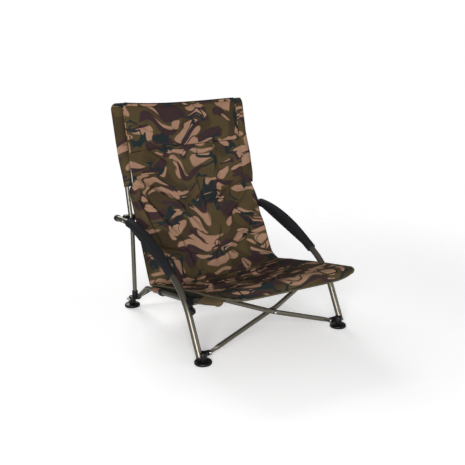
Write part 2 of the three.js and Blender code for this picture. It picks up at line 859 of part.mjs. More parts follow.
// mirror is -1 where the bar's lower end is at the left hub. spread moves it forward or back at the crossing.
function barGeometry(mirror, end, spread, lean) {
  const pin = forkPin(mirror, end);
  const slope = (crossingHeight - forkPinHeight) / forkPinLateral;
  const crossing = new THREE.Vector3(0, pin.y + spread, crossingHeight);
  const tip = new THREE.Vector3(-mirror * barEndLateral, pin.y + lean,
    crossingHeight + slope * barEndLateral);
  const inward = new THREE.Vector3(-mirror, 0, slope).normalize();
  const start = pin.clone().addScaledVector(inward, tongueStart + barRadius);
  const bar = tube(barRoute(start, crossing, tip, inward), barRadius, tubeWall, acrossY, barSides);
  const up = new THREE.Vector3(mirror * slope, 0, 1).normalize();
  const tongueBlock = spanBox(
    new THREE.Vector3(0, -tongueThickness / 2, -forkTipRadius),
    new THREE.Vector3(tongueLength, tongueThickness / 2, forkTipRadius),
  );
  const turn = new THREE.Matrix4().makeBasis(inward, up.clone().cross(inward), up).setPosition(pin);
  const tongue = tongueBlock.applyMatrix4(turn);
  const eye = straightRod(
    pin.clone().setY(pin.y - tongueThickness / 2), pin.clone().setY(pin.y + tongueThickness / 2),
    forkTipRadius, hubSides,
  );
  const tabEnd = new THREE.Vector3(-mirror * barTabLateral, 0, crossingHeight + slope * barTabLateral);
  const tipAlong = tip.clone().sub(crossing).normalize();
  tabEnd.y = tip.y + (tipAlong.y / Math.abs(tipAlong.x)) * (barTabLateral - barEndLateral);
  const tabStart = tip.clone().addScaledVector(tipAlong, -barTabWidth / 2);
  const tabLength = tabEnd.distanceTo(tabStart);
  const tabSide = acrossY.clone().addScaledVector(tipAlong, -acrossY.dot(tipAlong)).normalize();
  const tab = spanBox(
    new THREE.Vector3(0, -barTabWidth / 2, -barTabThickness / 2),
    new THREE.Vector3(tabLength, barTabWidth / 2, barTabThickness / 2),
  ).applyMatrix4(new THREE.Matrix4().makeBasis(tipAlong, tabSide, tipAlong.clone().cross(tabSide))
    .setPosition(tabStart));
  const rivetFoot = tabEnd.clone().addScaledVector(tipAlong, -tabRivetInset);
  const rivetHead = straightRod(
    rivetFoot, rivetFoot.clone().setZ(rivetFoot.z + barTabThickness / 2 + pinHeadHeight), pinHeadRadius,
  );
  const holes = [pin, crossing].map((place) => straightRod(
    place.clone().setY(place.y - 2 * barRadius), place.clone().setY(place.y + 2 * barRadius),
    pinHoleRadius,
  ));
  return combine([bar, tongue, eye, tab, rivetHead], holes);
}

for (const [endName, end, lean] of [["front", -1, frontLean], ["rear", 1, rearLean]]) {
  addPart(`${endName}_bar_a`, barGeometry(-1, end, crossingSpread, lean), olive);
  addPart(`${endName}_bar_b`, barGeometry(1, end, -crossingSpread, lean), olive);
  const middle = new THREE.Vector3(0, end * footHalfDepth + forkOffset, crossingHeight);
  const reach = crossingSpread + barRadius + touchGap;
  addPart(`${endName}_crossing_pin`, rivet(
    middle.clone().setY(middle.y - reach), middle.clone().setY(middle.y + reach),
  ), steel);
  const half = crossingSpread - barRadius - touchGap;
  const washerRoute = [middle.clone().setY(middle.y - half), middle.clone().setY(middle.y + half)];
  addPart(`${endName}_crossing_washer`,
    tube(washerRoute, barRadius, barRadius - pinHoleRadius, acrossX), blackPlastic);
}

for (const [sideName, side] of [["left", -1], ["right", 1]]) {
  const plate = spanBox(
    new THREE.Vector3(-strapThickness / 2, -strapLength / 2, -strapHeight / 2),
    new THREE.Vector3(strapThickness / 2, strapLength / 2, strapHeight / 2),
  ).rotateX(-radians(strapTilt));
  plate.translate(side * (footHalfWidth + hubBossRadius + touchGap + strapThickness / 2),
    footHalfDepth, (hubBottom + hubTop) / 2);
  addPart(`hub_strap_${sideName}`, plate, steel);
}

// Sling

function profileCurve(points) {
  return new THREE.CatmullRomCurve3(points.map((point) => new THREE.Vector3(0, point.x, point.y)), false,
    "centripetal");
}

function blendList(values, share) {
  const place = share * (values.length - 1);
  const index = Math.min(Math.floor(place), values.length - 2);
  return THREE.MathUtils.lerp(values[index], values[index + 1], place - index);
}

// A sheet with thickness over a grid of points, with its rows running across the chair.
function sheetSolid(place, across, along, thickness) {
  const point = (i, j) => place(-1 + (2 * i) / across, j / along);
  const normalAt = (i, j) => {
    const right = point(Math.min(i + 1, across), j).sub(point(Math.max(i - 1, 0), j));
    const down = point(i, Math.min(j + 1, along)).sub(point(i, Math.max(j - 1, 0)));
    return right.cross(down).normalize();
  };
  const rows = [];
  for (let j = 0; j <= along; j += 1) {
    const top = [];
    const bottom = [];
    for (let i = 0; i <= across; i += 1) {
      const normal = normalAt(i, j);
      top.push(point(i, j).addScaledVector(normal, thickness / 2));
      bottom.push(point(i, j).addScaledVector(normal, -thickness / 2));
    }
    rows.push([...top, ...bottom.reverse()]);
  }
  return sheetBody(rows, across);
}

// Each row goes once round the sheet's section: over it from left to right, and back under it.
function sheetBody(rows, across) {
  const count = rows[0].length;
  const positions = rows.flat().flatMap((point) => point.toArray());
  const indices = [];
  for (let j = 0; j + 1 < rows.length; j += 1) {
    for (let k = 0; k < count; k += 1) {
      const a = j * count + k;
      const b = j * count + ((k + 1) % count);
      indices.push(a, b, b + count, a, b + count, a + count);
    }
  }
  for (const [start, flip] of [[0, false], [(rows.length - 1) * count, true]]) {
    for (let i = 0; i < across; i += 1) {
      const a = start + i;
      const b = start + i + 1;
      const c = start + count - 2 - i;
      const d = start + count - 1 - i;
      indices.push(...(flip ? [a, b, c, a, c, d] : [a, c, b, a, d, c]));
    }
  }
  if (signedVolume(positions, indices) < 0) indices.reverse();
  const geometry = new THREE.BufferGeometry();
  geometry.setAttribute("position", new THREE.Float32BufferAttribute(positions, 3));
  geometry.setIndex(indices);
  return geometry;
}

const backCurve = profileCurve(backEdge);
const seatCurve = profileCurve(seatEdge);

// u runs from -1 to 1 across the chair, and v from 0 to 1 down the back or forward along the seat.
function backPlace(u, v) {
  const edge = backCurve.getPoint(v);
  const crown = 1 - u * u;
  const sag = backSag * blendList(backSagShares, v);
  const crease = creaseDepth * Math.sin(creaseTurns * v + creaseSlant * u) * Math.sin(Math.PI * v);
  const fall = seatSag * v ** seamPower;
  const below = THREE.MathUtils.smoothstep(sleeveBottom - edge.z, touchGap, slingFlare);
  const half = THREE.MathUtils.lerp(panelHalfWidth, slingHalfWidth, below);
  return new THREE.Vector3(u * half, edge.y + (sag + crease) * crown, edge.z - fall * crown);
}

function seatPlace(u, v) {
  const edge = seatCurve.getPoint(v);
  const crown = 1 - u * u;
  const rear = backSag * backSagShares.at(-1) * (1 - v) ** rearPower;
  const sag = seatSag * blendList(seatSagShares, v);
  const ripple = rippleDepth * Math.sin(rippleTurns * v + rippleSlant * u) * Math.sin(Math.PI * v) * (1 - v);
  const slack = hemDrop * Math.sin((Math.PI / 2) * Math.max((v - 1 + hemShare) / hemShare, 0));
  return new THREE.Vector3(u * slingHalfWidth, edge.y + rear * crown,
    edge.z - (sag - ripple + slack) * crown);
}

addPart("back_panel", sheetSolid(backPlace, panelColumns, backRows, slingThickness), camouflage);
addPart("seat_panel", sheetSolid(seatPlace, panelColumns, seatRows, slingThickness), camouflage);

// The share of the back's route at which its edge is at a height
function backShareAt(height) {
  let low = 0;
  let high = 1;
  while (high - low > weldTolerance) {
    const half = (low + high) / 2;
    if (backCurve.getPoint(half).z > height) low = half;
    else high = half;
  }
  return low;
}

// The head panel lies on the front of the back panel.
function headPlace(u, v) {
  const height = slingTop - headTopInset - v * headHeight;
  const base = backPlace((u * headHalfWidth) / panelHalfWidth, backShareAt(height));
  const crown = headCrown * (1 - u ** rearPower) * Math.sin(Math.PI * v);
  base.y -= (slingThickness + headThickness) / 2 + headGap + crown;
  return base;
}
addPart("head_panel", sheetSolid(headPlace, panelColumns, headRows, headThickness), camouflage);

// The binding along the front hem
const hemLine = Array.from({ length: panelColumns + 1 }, (_, i) => {
  const edge = seatPlace(-1 + (2 * i) / panelColumns, 1);
  return edge.setY(edge.y - bindingRadius - touchGap);
});
addPart("front_binding", rod(hemLine, bindingRadius, acrossY, pinSides), webbing);

// The origin is put under the middle of the whole chair, on the floor.
const bounds = new THREE.Box3().setFromObject(group);
const middle = bounds.getCenter(new THREE.Vector3());
for (const mesh of group.children) mesh.geometry.translate(-middle.x, -middle.y, -bounds.min.z);

export default group;
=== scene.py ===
import bmesh
import bpy
import numpy as np
from mathutils import Matrix, Vector


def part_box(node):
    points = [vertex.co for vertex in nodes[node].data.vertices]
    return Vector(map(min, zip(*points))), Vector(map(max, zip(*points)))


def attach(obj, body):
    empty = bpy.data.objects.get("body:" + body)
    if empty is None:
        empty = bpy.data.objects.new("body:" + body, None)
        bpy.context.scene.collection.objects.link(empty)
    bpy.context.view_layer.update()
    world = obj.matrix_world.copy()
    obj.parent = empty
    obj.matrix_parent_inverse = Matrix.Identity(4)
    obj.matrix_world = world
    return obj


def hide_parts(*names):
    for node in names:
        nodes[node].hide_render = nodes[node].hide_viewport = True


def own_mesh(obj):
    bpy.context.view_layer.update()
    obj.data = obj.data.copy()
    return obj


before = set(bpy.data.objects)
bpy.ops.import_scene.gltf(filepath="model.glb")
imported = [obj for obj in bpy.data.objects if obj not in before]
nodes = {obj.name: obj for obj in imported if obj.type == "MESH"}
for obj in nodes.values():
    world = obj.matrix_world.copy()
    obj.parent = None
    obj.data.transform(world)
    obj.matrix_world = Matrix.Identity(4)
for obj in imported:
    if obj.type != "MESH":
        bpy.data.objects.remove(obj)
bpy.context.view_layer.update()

sides = {"left": -1, "right": 1}
across = np.array((1.0, 0.0, 0.0))
forward = np.array((0.0, 1.0, 0.0))
upward = np.array((0.0, 0.0, 1.0))
print("frame loaded:", len(nodes), "nodes")


# Camera, lights and floor

camera = {
    "azimuth": -31.34,
    "elevation": 17.06,
    "distance": 2.592,
    "fieldOfView": 35.49,
    "roll": 0.05,
    "target": (0.003, -0.0049, 0.321),
}


def inScene(name, data):
    made = bpy.data.objects.new(name, data)
    bpy.context.scene.collection.objects.link(made)
    return made


def makeCamera():
    azimuth, elevation = np.radians(camera["azimuth"]), np.radians(camera["elevation"])
    level = np.cos(elevation)
    back = Vector((np.sin(azimuth) * level, -np.cos(azimuth) * level, np.sin(elevation)))
    data = bpy.data.cameras.new("photoCamera")
    data.angle = np.radians(camera["fieldOfView"])
    seer = inScene("photoCamera", data)
    turn = (-back).to_track_quat("-Z", "Y").to_matrix().to_4x4()
    roll = Matrix.Rotation(np.radians(camera["roll"]), 4, "Z")
    seer.matrix_world = Matrix.Translation(Vector(camera["target"]) + back * camera["distance"]) @ turn @ roll
    bpy.context.scene.camera = seer


lamps = {
    "aim": (0.0, 0.0, 0.33),
    "key": {"place": (-2.0, -2.9, 1.25), "size": 1.6, "power": 134},
    "fill": {"place": (2.2, -2.2, 1.0), "size": 1.6, "power": 14},
    "rim": {"place": (0.3, 2.6, 1.9), "size": 1.6, "power": 50},
}


def makeLamps():
    for name in ("key", "fill", "rim"):
        data = bpy.data.lights.new(name + "Lamp", "AREA")
        data.size = lamps[name]["size"]
        data.energy = lamps[name]["power"]
        lamp = inScene(name + "Lamp", data)
        lamp.location = lamps[name]["place"]
        lamp.rotation_mode = "QUATERNION"
        lamp.rotation_quaternion = (Vector(lamps["aim"]) - lamp.location).to_track_quat("-Z", "Y")


# Shader nodes

def feed(tree, node, sockets):
    for key, value in sockets.items():
        if isinstance(value, bpy.types.NodeSocket):
            tree.links.new(value, node.inputs[key])
        else:
            node.inputs[key].default_value = value


def place(tree, kind, sockets=None, **options):
    made = tree.nodes.new(kind)
    for key, value in options.items():
        setattr(made, key, value)
    feed(tree, made, sockets or {})
    return made


def math(tree, operation, *values):
    return place(tree, "ShaderNodeMath", dict(enumerate(values)), operation=operation).outputs[0]


def scaled(tree, value, gain, base):
    return math(tree, "ADD", math(tree, "MULTIPLY", value, gain), base)


def vectorMath(tree, operation, sockets):
    return place(tree, "ShaderNodeVectorMath", sockets, operation=operation).outputs[0]


# The value's share of the way from low to high, as a number from start to end
def ranged(tree, value, low, high, start=0.0, end=1.0, **options):
    return place(tree, "ShaderNodeMapRange", {
        "Value": value, "From Min": low, "From Max": high, "To Min": start, "To Max": end,
    }, **options).outputs[0]


def mixColour(tree, share, low, high):
    return place(tree, "ShaderNodeMix", {0: share, 6: low, 7: high}, data_type="RGBA").outputs[2]


def noise(tree, vector, scale, detail=2.0, roughness=0.5, distortion=0.0, output=0):
    return place(tree, "ShaderNodeTexNoise", {
        "Vector": vector, "Scale": scale, "Detail": detail, "Roughness": roughness, "Distortion": distortion,
    }).outputs[output]


def shifted(tree, vector, offset):
    return place(tree, "ShaderNodeMapping", {"Vector": vector, "Location": offset}).outputs[0]


# A node group: an input without a number is a vector, and each output has its kind.
def group(name, inputs, outputs):
    tree = bpy.data.node_groups.new(name, "ShaderNodeTree")
    for label, value in inputs.items():
        kind = "NodeSocketVector" if value is None else "NodeSocketFloat"
        socket = tree.interface.new_socket(label, in_out="INPUT", socket_type=kind)
        if value is not None:
            socket.default_value = value
    for label, kind in outputs.items():
        tree.interface.new_socket(label, in_out="OUTPUT", socket_type="NodeSocket" + kind)
    return tree, tree.nodes.new("NodeGroupInput").outputs, tree.nodes.new("NodeGroupOutput")


def useGroup(tree, made, sockets):
    return place(tree, "ShaderNodeGroup", sockets, node_tree=made).outputs


# Plain weave: two rows of rounded threads that cross, as a height from 0 to 1
def weaveGroup():
    tree, given, result = group("plainWeave", {"Vector": None, "Threads": 1400.0},
                                {"Height": "Float", "Shade": "Float"})
    parts = place(tree, "ShaderNodeSeparateXYZ", {0: given["Vector"]}).outputs
    warp, weft = (math(tree, "ABSOLUTE", math(tree, "SINE", math(tree, "MULTIPLY", part, given["Threads"])))
                  for part in (parts[0], parts[1]))
    feed(tree, result, {"Height": math(tree, "MAXIMUM", warp, weft),
                        "Shade": noise(tree, given["Vector"], 260.0)})
    return tree


# Camouflage in four colours: bent tan strips and brown-violet patches with dark branches over an olive ground

# Each layer has its turn in degrees, its spacing across and along in metres, its reach and its offset.
camouflage = {
    "groundLight": (0.074, 0.052, 0.023, 1.0),
    "groundDark": (0.050, 0.034, 0.016, 1.0),
    "groundTone": {"offset": (0.7, 0.2, 3.3), "scale": 7.5, "soft": 0.03},
    "tan": (0.320, 0.185, 0.120, 1.0),
    "violet": (0.040, 0.021, 0.023, 1.0),
    "teal": (0.015, 0.022, 0.023, 1.0),
    "edge": 0.014,
    "swirls": ((7.0, 0.130), (15.0, 0.072), (36.0, 0.010)),
    "tanLayers": ((38, 0.055, 0.166, 0.190, (3.1, 1.7)), (-48, 0.065, 0.178, 0.176, (7.4, 4.2)),
                  (82, 0.071, 0.164, 0.166, (1.9, 9.3))),
    "violetLayers": ((-30, 0.068, 0.150, 0.270, (5.6, 2.9)), (60, 0.085, 0.140, 0.250, (8.8, 6.1))),
    "lines": {"offset": (1.3, 9.4, 6.1), "scale": 13.5},
    "regions": {"offset": (4.4, 2.8, 8.6), "scale": 12.0, "low": 0.46, "high": 0.68},
    "branchWidth": 0.062,
    "branchEdge": 0.008,
}


# Long rounded blobs, one in each stretched cell, each with its own size: 1 inside and 0 outside
def blobs(tree, vector, layer):
    turn, wide, long, reach, offset = layer
    turned = place(tree, "ShaderNodeMapping", {
        "Vector": vector, "Location": (*offset, 0.0), "Rotation": (0.0, 0.0, np.radians(turn)),
        "Scale": (1 / long, 1 / wide, 1.0),
    }).outputs[0]
    cells = place(tree, "ShaderNodeTexVoronoi", {"Vector": turned, "Scale": 1.0}, voronoi_dimensions="2D")
    own = place(tree, "ShaderNodeSeparateXYZ", {0: cells.outputs["Color"]}).outputs[0]
    size = math(tree, "MULTIPLY", scaled(tree, own, 0.7, 0.6), reach)
    edge = camouflage["edge"]
    return ranged(tree, math(tree, "SUBTRACT", size, cells.outputs["Distance"]), -edge, edge)


def camouflageGroup():
    tree, given, result = group("camouflagePattern", {"Vector": None}, {"Color": "Color"})
    drift = given["Vector"]
    for scale, reach in camouflage["swirls"]:
        swirl = noise(tree, drift, scale, 0.0, output=1)
        centred = vectorMath(tree, "SUBTRACT", {0: swirl, 1: (0.5, 0.5, 0.5)})
        pushed = vectorMath(tree, "SCALE", {0: centred, "Scale": reach})
        drift = vectorMath(tree, "ADD", {0: drift, 1: pushed})
    lines, regions, tone = camouflage["lines"], camouflage["regions"], camouflage["groundTone"]
    wavy = noise(tree, shifted(tree, drift, lines["offset"]), lines["scale"], 1.0, 0.4)
    ridge = math(tree, "ABSOLUTE", math(tree, "SUBTRACT", wavy, 0.5))
    region = noise(tree, shifted(tree, drift, regions["offset"]), regions["scale"], 0.5)
    width = ranged(tree, region, regions["low"], regions["high"], 0.0, camouflage["branchWidth"])
    branches = ranged(tree, math(tree, "SUBTRACT", width, ridge), 0.0, camouflage["branchEdge"])
    shade = noise(tree, shifted(tree, drift, tone["offset"]), tone["scale"], 1.0)
    light = ranged(tree, shade, 0.5 - tone["soft"], 0.5 + tone["soft"])
    colour = mixColour(tree, light, camouflage["groundDark"], camouflage["groundLight"])
    for name in ("violet", "tan"):
        mask, *others = [blobs(tree, drift, layer) for layer in camouflage[name + "Layers"]]
        for other in others:
            mask = math(tree, "MAXIMUM", mask, other)
        colour = mixColour(tree, mask, colour, camouflage[name])
    feed(tree, result, {"Color": mixColour(tree, branches, colour, camouflage["teal"])})
    return tree


# Fine wear: coarse specks as a mask, and finer ones as a height
def speckGroup():
    tree, given, result = group("fineSpeck", {"Vector": None, "Scale": 300.0},
                                {"Mask": "Float", "Height": "Float"})
    finer = math(tree, "MULTIPLY", given["Scale"], 6.0)
    feed(tree, result, {"Mask": noise(tree, given["Vector"], given["Scale"], 3.0),
                        "Height": noise(tree, given["Vector"], finer, 1.0)})
    return tree


weave = weaveGroup()
pattern = camouflageGroup()
speck = speckGroup()


def material(name):
    made = bpy.data.materials.new(name)
    made.use_nodes = True
    tree = made.node_tree
    tree.nodes.clear()
    shader = tree.nodes.new("ShaderNodeBsdfPrincipled")
    place(tree, "ShaderNodeOutputMaterial", {0: shader.outputs[0]})
    return made, tree, shader


def objectPlace(tree):
    return place(tree, "ShaderNodeTexCoord").outputs["Object"]


def bump(tree, height, strength=1.0):
    return place(tree, "ShaderNodeBump", {"Height": height, "Distance": 1.0, "Strength": strength}).outputs[0]


clothLook = {
    "fade": {"scale": 16.0, "gain": 0.30, "base": 0.85},
    "shade": {"gain": 0.24, "base": 0.88},
    "rough": {"gain": 0.2, "base": 0.74},
    "crease": {"scale": 34.0, "detail": 4.0, "roughness": 0.55, "distortion": 0.6},
    "threadHeight": 0.00012,
    "specular": 0.16,
}


# Cloth in metres of its own UV map: colour from the pattern, with weave and fine crumples in the relief
def clothMaterial(name, plain=None, crumple=0.0012):
    made, tree, shader = material(name)
    fade, shade, rough = clothLook["fade"], clothLook["shade"], clothLook["rough"]
    flat = place(tree, "ShaderNodeUVMap", uv_map="cloth").outputs[0]
    threads = useGroup(tree, weave, {"Vector": flat})
    colour = plain or useGroup(tree, pattern, {"Vector": flat})["Color"]
    faded = scaled(tree, noise(tree, flat, fade["scale"], 3.0), fade["gain"], fade["base"])
    light = math(tree, "MULTIPLY", faded, scaled(tree, threads["Shade"], shade["gain"], shade["base"]))
    creased = math(tree, "MULTIPLY", noise(tree, flat, **clothLook["crease"]), crumple)
    height = math(tree, "ADD", creased, math(tree, "MULTIPLY", threads["Height"], clothLook["threadHeight"]))
    feed(tree, shader, {
        "Base Color": vectorMath(tree, "SCALE", {0: colour, "Scale": light}),
        "Roughness": scaled(tree, threads["Shade"], rough["gain"], rough["base"]),
        "Normal": bump(tree, height),
        "Specular IOR Level": clothLook["specular"],
    })
    return made


foamLook = {"cells": 620.0, "clouds": 45.0, "dark": (0.0075, 0.0078, 0.0095, 1.0),
            "light": (0.016, 0.0165, 0.020, 1.0), "rough": (0.15, 0.72), "cellDepth": 0.00035,
            "cloudDepth": 0.0004, "relief": 0.8, "specular": 0.22}


def foamMaterial():
    made, tree, shader = material("charcoalFoam")
    where = objectPlace(tree)
    cells = place(tree, "ShaderNodeTexVoronoi", {"Vector": where, "Scale": foamLook["cells"]})
    cloudy = noise(tree, where, foamLook["clouds"], 3.0)
    height = math(tree, "ADD", math(tree, "MULTIPLY", cells.outputs["Distance"], foamLook["cellDepth"]),
                  math(tree, "MULTIPLY", cloudy, foamLook["cloudDepth"]))
    feed(tree, shader, {
        "Base Color": mixColour(tree, cloudy, foamLook["dark"], foamLook["light"]),
        "Roughness": scaled(tree, cloudy, *foamLook["rough"]),
        "Normal": bump(tree, height, foamLook["relief"]),
        "Specular IOR Level": foamLook["specular"],
    })
    return made


# Paint, moulding and plated steel: two tones, a roughness and a relief that follow the fine specks
speckledLooks = {
    "tube": {"name": "oliveTubePaint", "scale": 70.0, "dark": (0.146, 0.134, 0.106, 1.0),
             "light": (0.168, 0.154, 0.123, 1.0), "rough": (0.04, 0.34), "depth": 0.000008,
             "own": {"Metallic": 0.8}},
    "plastic": {"name": "blackMoulding", "scale": 160.0, "dark": (0.0035, 0.0035, 0.0038, 1.0),
                "light": (0.008, 0.008, 0.0085, 1.0), "rough": (0.25, 0.28), "depth": 0.00010,
                "own": {"Specular IOR Level": 0.3}},
    "steel": {"name": "platedSteel", "scale": 240.0, "dark": (0.42, 0.41, 0.38, 1.0),
              "light": (0.68, 0.67, 0.63, 1.0), "rough": (0.2, 0.18), "depth": 0.00005,
              "own": {"Metallic": 1.0}},
}


def speckledMaterial(look):
    made, tree, shader = material(look["name"])
    marks = useGroup(tree, speck, {"Vector": objectPlace(tree), "Scale": look["scale"]})
    feed(tree, shader, {
        "Base Color": mixColour(tree, marks["Mask"], look["dark"], look["light"]),
        "Roughness": scaled(tree, marks["Mask"], *look["rough"]),
        "Normal": bump(tree, math(tree, "MULTIPLY", marks["Height"], look["depth"])),
        **look["own"],
    })
    return made


materials = {
    **{key: speckledMaterial(look) for key, look in speckledLooks.items()},
    "foam": foamMaterial(),
    "cloth": clothMaterial("camouflageCloth"),
    "edging": clothMaterial("darkEdging", (0.010, 0.011, 0.008), 0.0003),
    "hem": clothMaterial("khakiWebbing", (0.085, 0.075, 0.045), 0.0003),
    "pocket": clothMaterial("brownCanvas", (0.085, 0.056, 0.026), 0.0006),
    "loop": clothMaterial("tanCanvas", (0.26, 0.13, 0.08), 0.0006),
}
print("materials made")


# Meshes from grids of points

# Each cell of a grid joins its four corners, and a closed direction also joins its last line to its first.
def gridFaces(rows, columns, closedRows, closedColumns):
    i = np.arange(rows if closedRows else rows - 1)[:, None]
    j = np.arange(columns if closedColumns else columns - 1)[None, :]
    below, beside = (i + 1) % rows, (j + 1) % columns
    corners = [i * columns + j, i * columns + beside, below * columns + beside, below * columns + j]
    return np.stack(np.broadcast_arrays(*corners), axis=-1).reshape(-1, 4)


def addMesh(name, points, faces, finish, body, flat=None, replaced=(), sharpAngle=40.0):
    mesh = bpy.data.meshes.new(name)
    mesh.from_pydata(points.reshape(-1, 3).tolist(), [], faces.tolist())
    if flat is not None:
        layer = mesh.uv_layers.new(name="cloth")
        corners = np.zeros(len(mesh.loops), dtype=np.int32)
        mesh.loops.foreach_get("vertex_index", corners)
        layer.data.foreach_set("uv", flat.reshape(-1, 2)[corners].astype(np.float32).ravel())
    return dress(name, mesh, finish, body, replaced, sharpAngle)


def dress(name, mesh, finish, body, replaced=(), sharpAngle=40.0):
    mesh.validate()
    mesh.shade_smooth()
    mesh.set_sharp_from_angle(angle=np.radians(sharpAngle))
    mesh.materials.append(materials[finish])
    piece = inScene(name, mesh)
    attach(piece, body)
    if replaced:
        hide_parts(*replaced)
    return piece


# A closed solid from rings: poles are merged, and its faces are turned out.
def addSolid(name, rings, finish, body, replaced=(), closedRows=False, sharpAngle=40.0, flat=None):
    rows, columns = rings.shape[:2]
    faces = gridFaces(rows, columns, closedRows, True)
    points = rings.reshape(-1, 3)
    a, b, c, d = (points[faces[:, k]] - points.mean(axis=0) for k in range(4))
    if np.einsum("ij,ij->", a, np.cross(b, c) + np.cross(c, d)) < 0:
        faces = faces[:, ::-1]
    piece = addMesh(name, points, faces, finish, body, flat, replaced, sharpAngle)
    changeMesh(piece.data, weld)
    return piece


def changeMesh(mesh, change, source=None):
    shape = bmesh.new()
    shape.from_mesh(source or mesh)
    change(shape)
    shape.to_mesh(mesh)
    shape.free()


def weld(shape):
    bmesh.ops.remove_doubles(shape, verts=shape.verts, dist=2e-6)


def turnOut(shape):
    bmesh.ops.recalc_face_normals(shape, faces=shape.faces)


def joinFlats(shape):
    bmesh.ops.remove_doubles(shape, verts=shape.verts, dist=1e-6)
    bmesh.ops.dissolve_limit(shape, angle_limit=np.radians(1.0), verts=shape.verts, edges=shape.edges)


# A moulded piece is sharp above this angle, and has those edges rounded.
mouldAngle = 35.0


def dressMoulded(name, mesh, finish, body, replaced, rounding):
    piece = dress(name, mesh, finish, body, replaced, mouldAngle)
    edges = piece.modifiers.new("roundedEdges", "BEVEL")
    edges.width = rounding
    edges.segments = 2
    edges.limit_method = "ANGLE"
    edges.angle_limit = np.radians(mouldAngle)


# The CAD node's own solid, with its flat faces joined up and its edges rounded
def mouldedCopy(name, node, finish, body, rounding):
    mesh = bpy.data.meshes.new(name)
    changeMesh(mesh, joinFlats, nodes[node].data)
    dressMoulded(name, mesh, finish, body, (node,), rounding)


# A plastic plate: the outline moved by the given way, with its edges rounded
def addPlate(name, outline, way, body, replaced, rounding):
    count = len(outline)
    ring = list(range(count))
    faces = [ring[::-1], [k + count for k in ring]]
    faces += [[k, (k + 1) % count, (k + 1) % count + count, k + count] for k in ring]
    mesh = bpy.data.meshes.new(name)
    mesh.from_pydata(np.vstack([outline, np.add(outline, way)]).tolist(), [], faces)
    changeMesh(mesh, turnOut)
    dressMoulded(name, mesh, "plastic", body, replaced, rounding)


# Routes and sweeps

def unit(vectors):
    return vectors / np.linalg.norm(vectors, axis=-1, keepdims=True)


# Straight runs and round bends in a side plane, as depth and height: a bend turns a little at each step.
def bentRoute(start, heading, pieces, bendStep=2.0):
    turns, lengths = [heading], [0.0]
    for kind, size, turn in pieces:
        steps = 1 if kind == "run" else int(np.ceil(abs(turn) / bendStep))
        for _ in range(steps):
            lengths.append(size if kind == "run" else 2 * size * np.sin(np.radians(abs(turn) / steps) / 2))
            turns.append(turns[-1] + (0 if kind == "run" else turn / steps))
    middle = np.radians([(a + b) / 2 for a, b in zip(turns, turns[1:])])
    moves = np.array(lengths[1:])[:, None] * np.column_stack([np.cos(middle), np.sin(middle)])
    return np.vstack([start, np.array(start) + np.cumsum(moves, axis=0)])


def inPlane(route, lateral):
    return np.column_stack([np.full(len(route), lateral), route])


def runLengths(path):
    return np.concatenate([[0.0], np.cumsum(np.linalg.norm(np.diff(path, axis=0), axis=1))])


def routeLength(path):
    return np.linalg.norm(np.diff(path, axis=0), axis=1).sum()


# Points at distances along a path, which goes straight on past both its ends
def pathPoints(path, distances):
    lengths = runLengths(path)
    distances = np.asarray(distances, dtype=float)
    inside = np.clip(distances, 0.0, lengths[-1])
    points = np.column_stack([np.interp(inside, lengths, path[:, k]) for k in range(path.shape[1])])
    points = points + np.minimum(distances, 0.0)[:, None] * unit(path[1] - path[0])
    return points + np.maximum(distances - lengths[-1], 0.0)[:, None] * unit(path[-1] - path[-2])


# A ring of the given half width and half depth stands square to the path at each station.
def sweep(path, stations, wide, deep=None, side=across, count=32, reach=0.0008):
    stations = np.asarray(stations, dtype=float)
    wide = np.broadcast_to(wide, stations.shape)
    deep = wide if deep is None else np.broadcast_to(deep, stations.shape)
    way = unit(pathPoints(path, stations + reach) - pathPoints(path, stations - reach))
    first = unit(side - (way @ side)[:, None] * way)
    second = np.cross(way, first)
    angle = np.linspace(0, 2 * np.pi, count, endpoint=False)
    centre = pathPoints(path, stations)[:, None, :]
    out = wide[:, None, None] * np.cos(angle)[None, :, None] * first[:, None, :]
    up = deep[:, None, None] * np.sin(angle)[None, :, None] * second[:, None, :]
    return centre + out + up


# An open pipe: along the outside with softened rims, and back along the bore
def addPipe(name, path, radius, wall, finish, body, replaced, rim=0.0005, pitch=0.006):
    length = routeLength(path)
    along = np.linspace(rim, length - rim, max(int(length / pitch), 2))
    stations = np.concatenate([[0.0], along, [length, length], along[::-1], [0.0]])
    bore = np.full(len(along) + 2, radius - wall)
    radii = np.concatenate([[radius - rim], np.full(len(along), radius), [radius - rim], bore])
    addSolid(name, sweep(path, stations, radii), finish, body, replaced, closedRows=True)


# A turned shape from a list of (distance along the axis, radius), closed at both ends
def addTurned(name, path, profile, finish, body, replaced=(), side=across, count=40, sharpAngle=40.0):
    stations, radii = np.array(profile, dtype=float).T
    stations = np.concatenate([stations[:1], stations, stations[-1:]])
    radii = np.concatenate([[0.0], radii, [0.0]])
    addSolid(name, sweep(path, stations, radii, side=side, count=count), finish, body, replaced,
             sharpAngle=sharpAngle)


# A plastic shape on one side frame, which takes the place of a CAD node where one is named
def addMoulding(name, path, profile, sideName, node=None, **options):
    addTurned(f"{name}_{sideName}", path, profile, "plastic", f"{sideName}_side",
              (f"{node}_{sideName}",) if node else (), **options)


# A ring with a chamfer at both ends
def chamfered(start, end, radius, edge):
    return [(start, radius - edge), (start + edge, radius), (end - edge, radius), (end, radius - edge)]


# Side frames

mm = 0.001


def boxMiddle(node):
    low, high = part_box(node)
    return (low + high) / 2


footFront, footRear = boxMiddle("front_foot_left"), boxMiddle("rear_foot_left")
footLateral = abs(footFront.x)

